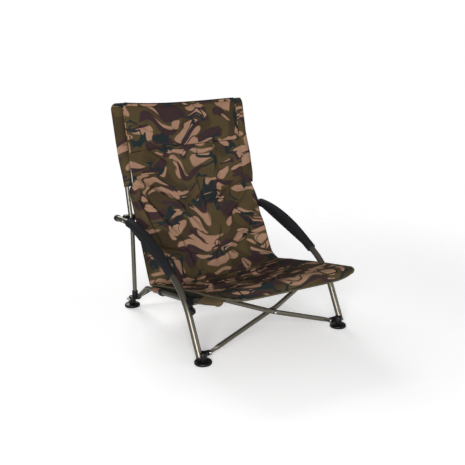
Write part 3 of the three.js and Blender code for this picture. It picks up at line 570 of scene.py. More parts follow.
sideFrame = {
    "leg": {"node": "leg_arm", "start": (footFront.y + 0.8 * mm, 19.5 * mm), "heading": 61.4,
            "radius": 11 * mm, "lateral": footLateral + 11.5 * mm,
            "pieces": [("run", 128.7 * mm, 0), ("bend", 240 * mm, -35.4), ("run", 100 * mm, 0),
                       ("bend", 604 * mm, -32), ("run", 55 * mm, 0)]},
    "post": {"node": "post", "start": (footRear.y + 1 * mm, 30 * mm), "heading": 90,
             "radius": 8 * mm, "lateral": footLateral - 13 * mm,
             "pieces": [("run", 262 * mm, 0), ("bend", 120 * mm, -12.8), ("run", 427 * mm, 0)]},
    "railRear": {"node": "rail_rear", "start": (footRear.y - 15 * mm, 38 * mm), "heading": 142,
                 "radius": 8 * mm, "lateral": footLateral - 20 * mm,
                 "pieces": [("run", 91 * mm, 0), ("bend", 60 * mm, 26.8), ("run", 114 * mm, 0)]},
    "railFront": {"node": "rail_front", "gap": 4 * mm, "heading": 168.8,
                  "radius": 10 * mm, "lateral": footLateral - 20 * mm,
                  "pieces": [("run", 201 * mm, 0), ("bend", 200 * mm, -6.8), ("run", 170 * mm, 0)]},
}
tubeWall = 1.5 * mm


# The front rail starts straight ahead of the rear rail's end, past the gap inside their clip.
def frameRoute(name):
    part = sideFrame[name]
    if name != "railFront":
        return bentRoute(part["start"], part["heading"], part["pieces"])
    rear = frameRoute("railRear")
    start = pathPoints(rear, [routeLength(rear) + part["gap"]])[0]
    return bentRoute(start, part["heading"], part["pieces"])


routes = {name: frameRoute(name) for name in sideFrame}


def sidePath(name, side):
    return inPlane(routes[name], side * sideFrame[name]["lateral"])


grip = {"from": 292.7 * mm, "to": 655.5 * mm, "radius": 17 * mm, "bore": 11.2 * mm, "round": 3 * mm,
        "swell": 0.5 * mm}


# The foam swells a little towards its middle and has rounded ends.
def makeGrip(sideName, side):
    start, end, edge = grip["from"], grip["to"], grip["round"]
    share = np.linspace(0, 1, 60)
    turn = np.linspace(0, np.pi / 2, 7)
    outside = start + edge + share * (end - start - 2 * edge)
    swell = grip["radius"] - grip["swell"] * np.cos(np.pi * (2 * share - 1)) ** 2
    startRound = start + edge * (1 - np.cos(turn))
    startRadius = swell[0] - edge * (1 - np.sin(turn))
    stations = np.concatenate([startRound, outside[1:-1], (start + end - startRound)[::-1], [end, start]])
    radii = np.concatenate([startRadius, swell[1:-1], startRadius[::-1], [grip["bore"], grip["bore"]]])
    addSolid(f"foamGrip_{sideName}", sweep(sidePath("leg", side), stations, radii, count=40), "foam",
             f"{sideName}_side", (f"grip_{sideName}",), closedRows=True)


armCap = {"back": 15 * mm, "wall": 1.9 * mm, "dome": 3.06 * mm, "clear": 0.3 * mm, "edge": 0.5 * mm,
          "shoulder": 1.6 * mm}


# A deep plastic cap with a low dome over the open end of the arm
def makeArmCap(sideName, side):
    path = sidePath("leg", side)
    end, outer = routeLength(path), sideFrame["leg"]["radius"] + armCap["wall"]
    back, edge, shoulder = end - armCap["back"], armCap["edge"], end - armCap["shoulder"]
    crown = end + armCap["clear"] + armCap["wall"]
    dome = [(crown + armCap["dome"] * (np.sin(a) - 1), outer * np.cos(a) ** 0.5)
            for a in np.linspace(0, np.pi / 2, 8)[1:]]
    profile = [(back, outer - edge), (back + edge, outer), (shoulder, outer)]
    profile += [spot for spot in dome if spot[0] > shoulder]
    addMoulding("armEndCap", path, profile, sideName, "arm_cap")


clip = {"radius": 14 * mm, "length": 18 * mm, "round": 1.6 * mm, "waist": 0.8 * mm}


def makeRailClip(sideName, side):
    path = sidePath("railRear", side)
    middle = routeLength(path) + sideFrame["railFront"]["gap"] / 2
    half, edge, radius = clip["length"] / 2, clip["round"], clip["radius"]
    before = [(-half, radius - edge), (0.3 * edge - half, radius - 0.3 * edge), (edge - half, radius),
              (-0.35 * half, radius), (-0.25 * half, radius - clip["waist"])]
    profile = before + [(-distance, size) for distance, size in before[::-1]]
    addMoulding("railClip", path, [(middle + distance, size) for distance, size in profile], sideName,
                "rail_clip")


legClamp = {"drop": 45 * mm, "forward": 20 * mm, "rear": 6 * mm, "notchDrop": 22 * mm, "notch": 7 * mm,
            "chamfer": 4 * mm, "width": 16.3 * mm, "lug": 13.5 * mm, "inset": 28 * mm, "round": 1.4 * mm}


# A clamp down the inner side of the leg, with a round lug about the rail above it
def makeLegClamp(sideName, side):
    leg = pathPoints(routes["leg"], np.linspace(0, 0.3, 601))
    rail = pathPoints(routes["railFront"], np.linspace(0, routeLength(routes["railFront"]), 601))
    gaps = np.linalg.norm(leg[:, None, :] - rail[None, :, :], axis=-1)
    nearest = np.unravel_index(gaps.argmin(), gaps.shape)[0]
    centre, up = leg[nearest], unit(leg[nearest + 1] - leg[nearest - 1])
    out = np.array((-up[1], up[0]))
    drop, front, rear, chamfer = (legClamp[key] for key in ("drop", "forward", "rear", "chamfer"))
    turn = np.linspace(0, np.pi, 13)
    notch = np.column_stack([-legClamp["notchDrop"] - legClamp["notch"] * np.cos(turn),
                             front - legClamp["notch"] * np.sin(turn)])
    spots = np.vstack([[(0, -rear), (-drop, -rear), (-drop, front - chamfer), (chamfer - drop, front)],
                       notch[np.argsort(notch[:, 0])], [(0, legClamp["lug"])]])
    plane = centre + spots[:, :1] * up + spots[:, 1:] * out
    legOut = side * sideFrame["leg"]["lateral"]
    addPlate(f"legClamp_{sideName}", inPlane(plane, legOut), (-side * legClamp["width"], 0, 0),
             f"{sideName}_side", (f"leg_bracket_{sideName}",), legClamp["round"])
    lugEnd = side * (sideFrame["railFront"]["lateral"] - legClamp["inset"])
    reach, radius, edge = abs(legOut - lugEnd), legClamp["lug"], legClamp["round"]
    profile = [(0, radius - edge), (0.3 * edge, radius - 0.3 * edge), (edge, radius), (reach - edge, radius),
               (reach, radius - edge)]
    addMoulding("railLug", np.array([(lugEnd, *centre), (legOut, *centre)]), profile, sideName, side=upward)


armSaddle = {"reach": 10 * mm, "inner": 22 * mm, "outer": 3 * mm, "depth": 17 * mm, "rise": 21 * mm,
             "chamfer": 5 * mm, "wall": 4.5 * mm, "round": 1.2 * mm}


# A collar on the post, and a saddle behind it that reaches over the arm
def makeArmSaddle(sideName, side):
    pin = boxMiddle(f"arm_pin_{sideName}")
    postOut, reach, edge = sideFrame["post"]["lateral"], armSaddle["reach"], armSaddle["round"]
    radius = sideFrame["post"]["radius"] + armSaddle["wall"]
    inner, outer = postOut - armSaddle["inner"], sideFrame["leg"]["lateral"] + armSaddle["outer"]
    bottom, top, chamfer = pin.z - reach, pin.z + armSaddle["rise"], armSaddle["chamfer"]
    outline = [(inner, top - 2 * chamfer), (inner + chamfer, top), (outer - chamfer, top),
               (outer, top - chamfer), (outer, pin.z), (postOut, bottom), (postOut - radius, bottom)]
    addPlate(f"armSaddle_{sideName}", [(side * x, pin.y, z) for x, z in outline], (0, armSaddle["depth"], 0),
             f"{sideName}_side", (f"arm_bracket_{sideName}",), edge)
    post = sidePath("post", side)
    stations = np.linspace(0, routeLength(post), 1500)
    middle = stations[np.argmin(np.abs(pathPoints(post, stations)[:, 2] - pin.z))]
    addMoulding("postCollar", post, chamfered(middle - reach, middle + reach, radius, edge), sideName)


hub = {"low": 15.5 * mm, "high": 40 * mm, "radius": 14 * mm, "neck": 4.3 * mm, "ball": 9.3 * mm,
       "round": 1.8 * mm, "taper": 1 * mm, "tip": 7.5 * mm, "gap": 5.6 * mm, "cheek": 3 * mm,
       "cheekRound": 0.7 * mm, "shoeRound": 0.8 * mm,
       "shoes": {"front": (("leg", 0.8 * mm, 5 * mm, 0.9 * mm),),
                 "rear": (("post", -3 * mm, 30 * mm, 3 * mm), ("railRear", -3 * mm, 9 * mm, 2 * mm))}}


# A round boss over the foot's ball, a fork for the bar's flat end, and a shoe round the end of each tube
def makeHub(endName, sideName, side):
    centre, pin = boxMiddle(f"{endName}_foot_{sideName}"), boxMiddle(f"{endName}_fork_pin_{sideName}")
    bottom, top, radius, edge = hub["low"], hub["high"], hub["radius"], hub["round"]
    narrow = radius - hub["taper"]
    profile = [(hub["ball"], hub["neck"]), (bottom, hub["neck"]), (bottom, radius - edge),
               (bottom + 0.4 * edge, radius - 0.3 * edge), (bottom + edge, radius), (top - edge, narrow),
               (top - 0.4 * edge, narrow - 0.3 * edge), (top, narrow - edge)]
    axis = np.array([(centre.x, centre.y, 0), (centre.x, centre.y, 0.02)])
    addMoulding(f"hubBoss_{endName}", axis, profile, sideName, f"{endName}_hub", count=48)
    tip = hub["tip"]
    outline = [(centre.x, pin.z - tip)] + [(pin.x - side * tip * np.cos(a), pin.z + tip * np.sin(a))
                                           for a in np.linspace(-np.pi / 2, np.pi / 2, 13)]
    outline += [(centre.x, pin.z + tip)]
    for name, way in (("Front", -1), ("Rear", 1)):
        addPlate(f"hubCheek{name}_{endName}_{sideName}",
                 [(x, pin.y + way * hub["gap"] / 2, z) for x, z in outline], (0, way * hub["cheek"], 0),
                 f"{sideName}_side", (), hub["cheekRound"])
    for tube, start, end, wall in hub["shoes"][endName]:
        addMoulding(f"hubShoe_{tube}", sidePath(tube, side),
                    chamfered(start, end, sideFrame[tube]["radius"] + wall, hub["shoeRound"]), sideName)


for sideName, side in sides.items():
    makeLegClamp(sideName, side)
    makeArmSaddle(sideName, side)
    for name, part in sideFrame.items():
        addPipe(f"{name}Tube_{sideName}", sidePath(name, side), part["radius"], tubeWall, "tube",
                f"{sideName}_side", (f"{part['node']}_{sideName}",))
    makeGrip(sideName, side)
    makeArmCap(sideName, side)
    makeRailClip(sideName, side)
    for endName in ("front", "rear"):
        makeHub(endName, sideName, side)
print("side frames made")


# Foot discs, as (height, radius) in millimetres

footDisc = {
    "segments": 64,
    "outline": [(0, 26.5), (0.9, 28.3), (2.5, 29), (6, 29), (8, 28.2), (9.5, 26.5), (9.9, 18), (10.3, 13),
                (11.2, 10.8), (12.2, 10), (12.8, 9.6), (13, 8.7), (12.9, 6.1), (10.5, 6.6)],
}

for endName in ("front", "rear"):
    for sideName in sides:
        node = f"{endName}_foot_{sideName}"
        centre = boxMiddle(node)
        axis = np.array([(centre.x, centre.y, 0), (centre.x, centre.y, 0.02)])
        addTurned(f"footDisc_{endName}_{sideName}", axis, np.array(footDisc["outline"]) * mm, "plastic", node,
                  (node,), count=footDisc["segments"], sharpAngle=50.0)


# Rivets, pins and straps

rivet = {"head": 2.4 * mm, "headRadius": 5.2 * mm, "shank": 3 * mm}
railRivet = {"head": 1.8 * mm, "headRadius": 4 * mm, "shank": 2 * mm}


# A domed head at each end of a shank, on the line between two opposite faces of the CAD node's box
def addRivet(name, node, body, direction, shape=rivet):
    low, high = (np.array(corner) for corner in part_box(node))
    centre = (low + high) / 2
    half = abs((high - low) @ direction) / 2
    path = np.array([centre - half * direction, centre + half * direction])
    head, wide = shape["head"], shape["headRadius"]
    dome = [(head * (1 - np.cos(a)), wide * np.sin(a) ** 0.7) for a in np.linspace(0, np.pi / 2, 6)[1:]]
    near = dome + [(head, wide), (head, shape["shank"])]
    far = [(2 * half - distance, radius) for distance, radius in reversed(near)]
    addTurned(name, path, near + far, "steel", body, (node,), side=np.roll(direction, 1), count=24,
              sharpAngle=55.0)


for sideName in sides:
    body = f"{sideName}_side"
    for endName in ("front", "rear"):
        addRivet(f"forkPin_{endName}_{sideName}", f"{endName}_fork_pin_{sideName}", body, forward)
    addRivet(f"armPin_{sideName}", f"arm_pin_{sideName}", body, across)
    addRivet(f"railRivet_{sideName}", f"rail_rivet_{sideName}", body, across, railRivet)
    mouldedCopy(f"hubStrap_{sideName}", f"hub_strap_{sideName}", "steel", body, 0.8 * mm)
for endName in ("front", "rear"):
    body = f"{endName}_bar_a"
    addRivet(f"crossingPin_{endName}", f"{endName}_crossing_pin", body, forward)
    mouldedCopy(f"crossingWasher_{endName}", f"{endName}_crossing_washer", "plastic", body, 0.3 * mm)
print("feet, rivets and straps made")


# Crossed bars: round tubes pressed flat at both ends

bars = {
    "pinLateral": 245 * mm,
    "pinHeight": 27 * mm,
    "crossingHeight": 117 * mm,
    "spread": 9.5 * mm,
    "endLateral": 200 * mm,
    "tabLateral": 238 * mm,
    "level": 22 * mm,
    "straight": 20 * mm,
    "bend": 10 * mm,
    "radius": 8 * mm,
    "eye": {"reach": 7.5 * mm, "thin": 2.5 * mm, "from": 16 * mm, "to": 34 * mm},
    "tab": {"reach": 8 * mm, "thin": 1.6 * mm, "from": 50 * mm, "to": 34 * mm},
    "lean": {"front": 52 * mm, "rear": -78 * mm},
}


# The bar's centre line: along the pin line past the crossing, then off towards the corner of the seat
def barRoute(start, pinDepth, spread, lean):
    slope = (bars["crossingHeight"] - bars["pinHeight"]) / bars["pinLateral"]
    inward = np.array((-start, 0.0, slope)) / np.hypot(1, slope)
    pin = np.array((start * bars["pinLateral"], pinDepth, bars["pinHeight"]))
    crossing = np.array((0.0, pinDepth + spread, bars["crossingHeight"]))
    tip = np.array((-start * bars["endLateral"], pinDepth + lean,
                    bars["crossingHeight"] + slope * bars["endLateral"]))
    before, corner = crossing - bars["level"] * inward, crossing + bars["level"] * inward
    way = (tip - corner) / np.linalg.norm(tip - corner)
    tab = tip + way * (bars["tabLateral"] - bars["endLateral"]) / abs(way[0])
    bendStart, bendEnd = corner - bars["bend"] * inward, corner + bars["bend"] * way
    share = np.linspace(0, 1, 7)[:, None]
    curve = (1 - share) ** 2 * bendStart + 2 * share * (1 - share) * corner + share ** 2 * bendEnd
    return np.vstack([[pin, pin + bars["straight"] * inward, before], curve, [tip, tab]])


def ease(value, low, high):
    share = np.clip((value - low) / (high - low), 0, 1)
    return share * share * (3 - 2 * share)


# The eye is pressed flat and round at its end, and the tab at the other end is thin the other way.
def makeBar(endName, letter, start, spread):
    low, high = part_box(f"{endName}_fork_pin_left")
    path = barRoute(start, (low.y + high.y) / 2, spread, bars["lean"][endName])
    length, radius = routeLength(path), bars["radius"]
    eye, eyeThin, tab = bars["eye"]["reach"], bars["eye"]["thin"], bars["tab"]["reach"]
    turn = np.linspace(0, np.pi / 2, 8)
    stations = np.concatenate([-eye * np.cos(turn), np.linspace(1 * mm, length - 9 * mm, 110),
                               length - tab + tab * np.sin(turn)])
    pressed = ease(stations, bars["eye"]["from"], bars["eye"]["to"])
    tabbed = ease(stations, length - bars["tab"]["from"], length - bars["tab"]["to"])
    roundEye = np.sqrt(np.clip(1 - (np.minimum(stations, 0) / eye) ** 2, 0, 1))
    roundTab = np.sqrt(np.clip(1 - (np.maximum(stations - length + tab, 0) / tab) ** 2, 0, 1))
    alongDepth = eyeThin + (radius - eyeThin) * pressed
    alongRise = eye + (radius - eye) * pressed
    alongRise = alongRise + (bars["tab"]["thin"] - alongRise) * tabbed
    wide = alongDepth * np.where(stations < 0, roundEye ** 0.3, 1) * roundTab
    deep = alongRise * roundEye * np.where(tabbed > 0, roundTab ** 0.3, 1)
    rings = sweep(path, stations, wide, deep, side=forward, count=28)
    node = f"{endName}_bar_{letter}"
    addSolid(f"crossBar_{endName}_{letter}", rings, "tube", node, (node,))


for endName in ("front", "rear"):
    makeBar(endName, "a", -1, bars["spread"])
    makeBar(endName, "b", 1, -bars["spread"])
print("crossed bars made")


# Sling: its top edges run along the posts, and its lower edges come from lists of places

# Each place is (distance out from the middle, depth, height) in millimetres. The cloth hangs askew: on the
# right its edge passes outside the post, and its corner between back and seat is drawn forward and up.
sling = {
    "thickness": 1.7 * mm,
    "topRise": 15.5 * mm,
    "lead": 4.3 * mm,
    "panelHalf": 240.5 * mm,
    "topSkew": 5 * mm,
    "topSag": 9 * mm,
    "sleeveBottom": {"left": 457 * mm, "right": 414 * mm},
    "postHeights": {"left": (640, 545, 466), "right": (640, 530, 446)},
    "backEdge": {
        "left": ((250.5, 306, 450), (251.5, 299, 419), (251.5, 278, 374), (251.5, 254, 323),
                 (251.5, 228, 272), (251.5, 198, 207), (251.5, 172, 150), (251, 156, 119)),
        "right": ((266, 289, 420), (271, 280, 400), (275, 266, 376), (277, 251, 350), (275, 233, 306),
                  (275, 200, 265), (276, 167, 202), (273, 135, 163), (265, 82, 152)),
    },
    "seatEdge": {
        "left": ((251, 156, 118), (251.5, 72, 143), (251.5, -8, 164), (251.5, -106, 189), (251.5, -190, 209),
                 (251.5, -256, 221), (251.5, -319, 235), (251.5, -350, 242), (247, -374, 248),
                 (237, -388, 249)),
        "right": ((265, 82, 151), (258, 30, 165), (254, -15, 178), (252, -78, 192), (251.5, -144, 208),
                  (251.5, -208, 222), (251.5, -258, 233), (251.5, -306, 242), (251.5, -345, 250),
                  (251, -368, 254), (247, -382, 252), (238, -389, 247), (222, -391, 243)),
    },
    "backSag": 38 * mm,
    "backSagShares": (0.16, 0.32, 0.53, 0.71, 0.84, 0.92, 0.9, 0.75, 0.53),
    "creaseDepth": 3.5 * mm,
    "seamFall": 32 * mm,
    "rearSag": 20 * mm,
    "seatSag": ((0, 32), (0.12, 27), (0.3, 23), (0.5, 20), (0.66, 19), (0.78, 9), (0.85, -10), (0.89, -9),
                (0.95, 3), (1, 16)),
    "columns": 171,
    "rows": 230,
    "sharpAngle": 60.0,
}

railWhole = np.vstack([routes["railRear"], routes["railFront"]])
postTop = routes["post"][-1]
postLean = unit(routes["post"][-1] - routes["post"][-2])
slingTop = {sideName: postTop[1] + sling["topRise"] - side * sling["topSkew"]
            for sideName, side in sides.items()}


def besidePost(height):
    depth = postTop[0] + postLean[0] / postLean[1] * (height - postTop[1]) - sling["lead"]
    return np.array((sling["panelHalf"], depth, height))


# A smooth curve through points, with each stretch shaped by the distances to the points beside it
def smoothCurve(points, shares):
    whole = np.vstack([2 * points[0] - points[1], points, 2 * points[-1] - points[-2]])
    where = np.clip(shares, 0, 1) * (len(points) - 1)
    index = np.minimum(where.astype(int), len(points) - 2)
    t = (where - index)[..., None]
    a, b, c, d = (whole[index + k] for k in range(4))
    before, here, after = (np.sqrt(np.linalg.norm(q - p, axis=-1, keepdims=True))
                           for p, q in ((a, b), (b, c), (c, d)))
    leave = ((b - a) / before - (c - a) / (before + here) + (c - b) / here) * here
    arrive = ((c - b) / here - (d - b) / (here + after) + (d - c) / after) * here
    bend, twist = 3 * (c - b) - 2 * leave - arrive, 2 * (b - c) + leave + arrive
    return b + leave * t + bend * t ** 2 + twist * t ** 3


# The same curve at even steps of its own length
def evenCurve(points, count=400):
    fine = smoothCurve(np.array(points, dtype=float), np.linspace(0, 1, 3000))
    lengths = runLengths(fine)
    even = np.linspace(0, lengths[-1], count)
    return np.column_stack([np.interp(even, lengths, fine[:, k]) for k in range(3)])


# The cloth's edge on one side, first down the back and then forward along the seat
def slingEdge(sideName, side):
    back = [besidePost(slingTop[sideName])]
    back += [besidePost(height * mm) for height in sling["postHeights"][sideName]]
    back += [np.array(spot) * mm for spot in sling["backEdge"][sideName]]
    seat = [np.array(spot) * mm for spot in sling["seatEdge"][sideName]]
    return [evenCurve(edge) * (side, 1, 1) for edge in (back, seat)]


edges = {sideName: slingEdge(sideName, side) for sideName, side in sides.items()}


# A place between the edges: u runs from -1 at the left to 1 at the right, and v from 0 to 1 along both.
def betweenEdges(which, u, v):
    u, v = np.broadcast_arrays(u, v)
    where = np.linspace(0, 1, len(edges["left"][which]))
    left, right = (np.stack([np.interp(v, where, edges[sideName][which][:, k]) for k in range(3)], axis=-1)
                   for sideName in ("left", "right"))
    return left + (right - left) * ((u + 1) / 2)[..., None]


# A sum of sine waves that run in all directions, between about -1 and 1, as soft crumples in cloth
def crumples(first, second, wavelength, seed, count=9):
    draw = np.random.default_rng(seed)
    total = 0
    for _ in range(count):
        way, phase, size = draw.uniform(0, np.pi), draw.uniform(0, 2 * np.pi), draw.uniform(0.6, 1.7)
        pace = 2 * np.pi / (wavelength * size)
        total = total + np.sin(pace * (first * np.cos(way) + second * np.sin(way)) + phase) * size
    return total / count


# Crumples of several sizes, each with its height, its wavelength and its seed
def crumpled(first, second, waves):
    return sum(height * crumples(first, second, wavelength, seed) for height, wavelength, seed in waves)


# A round hill of height 1 at the middle, which falls off over its width
def hill(value, middle, width):
    return np.exp(-((value - middle) / width) ** 2)


# Each fold is a raised ridge with a hollow beside it, from its start to its end, and fades out at both.
def foldRelief(first, second, folds):
    total = 0
    for start, end, depth, width in folds:
        run, rise = end[0] - start[0], end[1] - start[1]
        length = np.hypot(run, rise)
        along = ((first - start[0]) * run + (second - start[1]) * rise) / length ** 2
        off = ((second - start[1]) * run - (first - start[0]) * rise) / length
        fade = ease(along, -0.08, 0.22) * (1 - ease(along, 0.6, 1.15))
        total = total + depth * fade * (hill(off, 0, width) - 0.6 * hill(off, 1.7 * width, 1.1 * width))
    return total


# The back sags most in its middle. A slow crease runs down it, its lower seam and its top edge hang through.
def backPlace(u, v):
    points = betweenEdges(0, u, v)
    crown = 1 - u ** 2
    sag = sling["backSag"] * np.interp(v, np.linspace(0, 1, 9), sling["backSagShares"])
    crease = sling["creaseDepth"] * np.sin(9 * v + 5 * u) * np.sin(np.pi * v)
    points[..., 1] += (sag + crease) * crown
    points[..., 2] -= sling["seamFall"] * v ** 8 * crown
    points[..., 2] -= sling["topSag"] * (1 - ease(v, 0, 0.12)) * crown * (1 - 0.4 * u)
    return points


# Behind its front hem the seat rises to a ridge, lower on the right, and it hangs lowest behind that. Its sag
# is the mean of the listed ones near by, and it reaches further out to the sides towards the front.
def seatPlace(u, v):
    points = betweenEdges(1, u, v)
    along, sags = np.array(sling["seatSag"]).T
    sag = np.mean([np.interp(v + shift, along, sags * mm) for shift in np.linspace(-0.03, 0.03, 7)], axis=0)
    sag = np.where(sag < 0, sag * (1 - 0.35 * u), sag)
    crown = 1 - np.abs(u) ** (2 + 6 * v ** 3)
    points[..., 1] += sling["rearSag"] * (1 - v) ** 6 * crown
    points[..., 2] -= sag * crown
    return points


# Folds in the back, as places (x, z), and in the seat, as places (x, y), each with its depth and its width
backFolds = [
    ((-0.235, 0.475), (-0.02, 0.34), 7 * mm, 13 * mm),
    ((-0.235, 0.455), (-0.09, 0.25), 5 * mm, 11 * mm),
    ((-0.235, 0.43), (-0.16, 0.20), 4 * mm, 9 * mm),
    ((-0.10, 0.42), (0.02, 0.26), 4 * mm, 9 * mm),
    ((0.24, 0.44), (0.05, 0.36), 6 * mm, 12 * mm),
    ((0.25, 0.40), (0.10, 0.27), 5 * mm, 10 * mm),
    ((0.26, 0.33), (0.16, 0.20), 5 * mm, 9 * mm),
    ((0.12, 0.60), (0.13, 0.42), 3 * mm, 10 * mm),
    ((0.03, 0.47), (0.06, 0.30), 3.5 * mm, 8 * mm),
    ((-0.20, 0.60), (-0.06, 0.50), 3 * mm, 9 * mm),
    ((-0.22, 0.24), (0.0, 0.17), 4 * mm, 8 * mm),
    ((0.24, 0.26), (0.06, 0.17), 5 * mm, 9 * mm),
    ((0.10, 0.28), (0.03, 0.14), 4 * mm, 8 * mm),
    ((-0.08, 0.24), (-0.05, 0.13), 3.5 * mm, 8 * mm),
]
seatFolds = [
    ((-0.24, -0.33), (-0.12, -0.20), 3 * mm, 10 * mm),
    ((0.24, -0.33), (0.12, -0.22), 3 * mm, 10 * mm),
]

# The front band of the seat is taut, and ends behind in a fold: this is where it ends, as (x, y).
bandLine = {"across": (-0.21, 0.0, 0.21), "depth": (-0.300, -0.308, -0.300)}
wrinkle = {"seed": 11, "count": 60, "lateral": (-0.19, 0.19), "clear": 0.02, "rear": 0.15,
           "reach": (0.03, 0.10), "tilt": (-0.016, 0.010), "height": (3.0, 7.0), "width": (3.5, 7.0)}


def bandEnd(x):
    return np.interp(x, bandLine["across"], bandLine["depth"])


# Long thin wrinkles that run across behind the front band
def rearWrinkles():
    draw = np.random.default_rng(wrinkle["seed"])
    made = []
    for _ in range(wrinkle["count"]):
        middle = draw.uniform(*wrinkle["lateral"])
        depth = draw.uniform(bandEnd(middle) + wrinkle["clear"], wrinkle["rear"])
        reach = draw.uniform(*wrinkle["reach"])
        tilt = draw.uniform(*wrinkle["tilt"])
        made.append(((middle - reach, depth - tilt), (middle + reach, depth + tilt),
                     draw.uniform(*wrinkle["height"]) * mm, draw.uniform(*wrinkle["width"]) * mm))
    return made


def unitNormals(points):
    return unit(np.cross(np.gradient(points, axis=1), np.gradient(points, axis=0)))


# Places in the flat cloth, in metres, from the lengths along the middle row and the middle column
def flatPlaces(points):
    rowSteps = np.linalg.norm(np.diff(points, axis=1), axis=-1)
    columnSteps = np.linalg.norm(np.diff(points, axis=0), axis=-1)
    wide = np.concatenate([np.zeros((len(points), 1)), np.cumsum(rowSteps, axis=1)], axis=1)
    wide -= wide[:, -1:] / 2
    along = np.concatenate([np.zeros((1, points.shape[1])), np.cumsum(columnSteps, axis=0)], axis=0)
    return np.stack([wide, np.broadcast_to(along.mean(axis=1)[:, None], wide.shape)], axis=-1)


# Flat places of cloth wound round a solid, from its girth and its length
def woundPlaces(girth, sideCount, along):
    return np.stack(np.broadcast_arrays(np.linspace(0, girth, sideCount)[None, :], along[:, None]), axis=-1)


def foldsWithFrame(piece):
    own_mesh(piece)


def addCloth(name, points, finish, body, replaced, drift=(0, 0), closed=False, thickness=None,
             squashed=False):
    flat = flatPlaces(points)
    faces = gridFaces(*points.shape[:2], False, closed)
    piece = addMesh(name, points, faces, finish, body, flat + drift, replaced, sling["sharpAngle"])
    layer = piece.modifiers.new("clothThickness", "SOLIDIFY")
    layer.thickness = thickness or sling["thickness"]
    layer.offset = 0.0
    if squashed:
        foldsWithFrame(piece)


def clothShares(columns, rows):
    return np.linspace(-1, 1, columns)[None, :], np.linspace(0, 1, rows)[:, None]


# The relief of folds and crumples is least along the hems, and fine crumples are strongest low down.
def backGrid():
    u, v = clothShares(sling["columns"], sling["rows"])
    points = backPlace(u, v)
    x, z = points[..., 0], points[..., 2]
    held = np.minimum(1, (1 - np.abs(u)) / 0.10)
    ends = np.minimum(1, v / 0.05) * (0.35 + 0.65 * np.minimum(1, (1 - v) / 0.05))
    low = ease(0.50 - z, 0, 0.25)
    relief = 2.1 * foldRelief(x, z, backFolds)
    relief = relief + crumpled(x, z, ((2.0 * mm, 0.11, 3), (0.8 * mm, 0.045, 4), (0.45 * mm, 0.022, 7)))
    relief = relief + low * crumpled(x, 0.5 * z, ((1.3 * mm, 0.035, 6),))
    return points - (relief * (0.15 + 0.85 * held * ends))[..., None] * unitNormals(points)


# Behind the taut band a ridge and a hollow run across, and the cloth is slack from there to the rear.
def seatGrid():
    u, v = clothShares(sling["columns"], sling["rows"])
    points = seatPlace(u, v)
    x, y = points[..., 0], points[..., 1]
    held = np.minimum(1, (1 - np.abs(u)) / 0.08)
    ends = np.minimum(1, (1 - v) / 0.05) * (0.3 + 0.7 * np.minimum(1, v / 0.05))
    behind = y - bandEnd(x)
    slack = ease(behind, -0.01, 0.03)
    relief = slack * foldRelief(x, y, rearWrinkles()) + foldRelief(x, y, seatFolds)
    relief = relief + crumpled(x, y, ((1.2 * mm, 0.10, 8),))
    fine = crumpled(0.3 * x, y, ((1.8 * mm, 0.034, 10),)) + crumpled(0.5 * x, y, ((0.6 * mm, 0.02, 9),))
    relief = relief + slack * fine
    relief = relief + 3 * mm * hill(behind, 0.002, 0.010) - 4 * mm * hill(behind, 0.024, 0.012)
    normals = unitNormals(points)
    normals *= np.sign(normals[..., 2:3].mean())
    return points + (relief * (0.12 + 0.88 * held * ends))[..., None] * normals


backPoints = backGrid()
seatPoints = seatGrid()
addCloth("backCloth", backPoints, "cloth", "left_side", ("back_panel",),
         squashed=True)
addCloth("seatCloth", seatPoints, "cloth", "left_side", ("seat_panel",),
         drift=(0.37, 1.1), squashed=True)
print("back and seat made")


# Sleeves: a flat lens of cloth round each post, drawn together at the top

# How far each sleeve reaches outwards from its post's axis, at heights from the top down, all in millimetres
sleeve = {
    "inner": 22.6 * mm,
    "depth": 11.2 * mm,
    "thin": 1.4 * mm,
    "round": 9.3 * mm,
    "corner": 24 * mm,
    "cloth": 1.2 * mm,
    "sides": 64,
    "rows": 120,
    "topGather": 26 * mm,
    "reach": {
        "left": ((760, 23), (620, 20.5), (550, 18), (500, 12.5), (472, 10.5), (440, 10.5)),
        "right": ((760, 13), (610, 14), (530, 23), (450, 25), (410, 20)),
    },
}


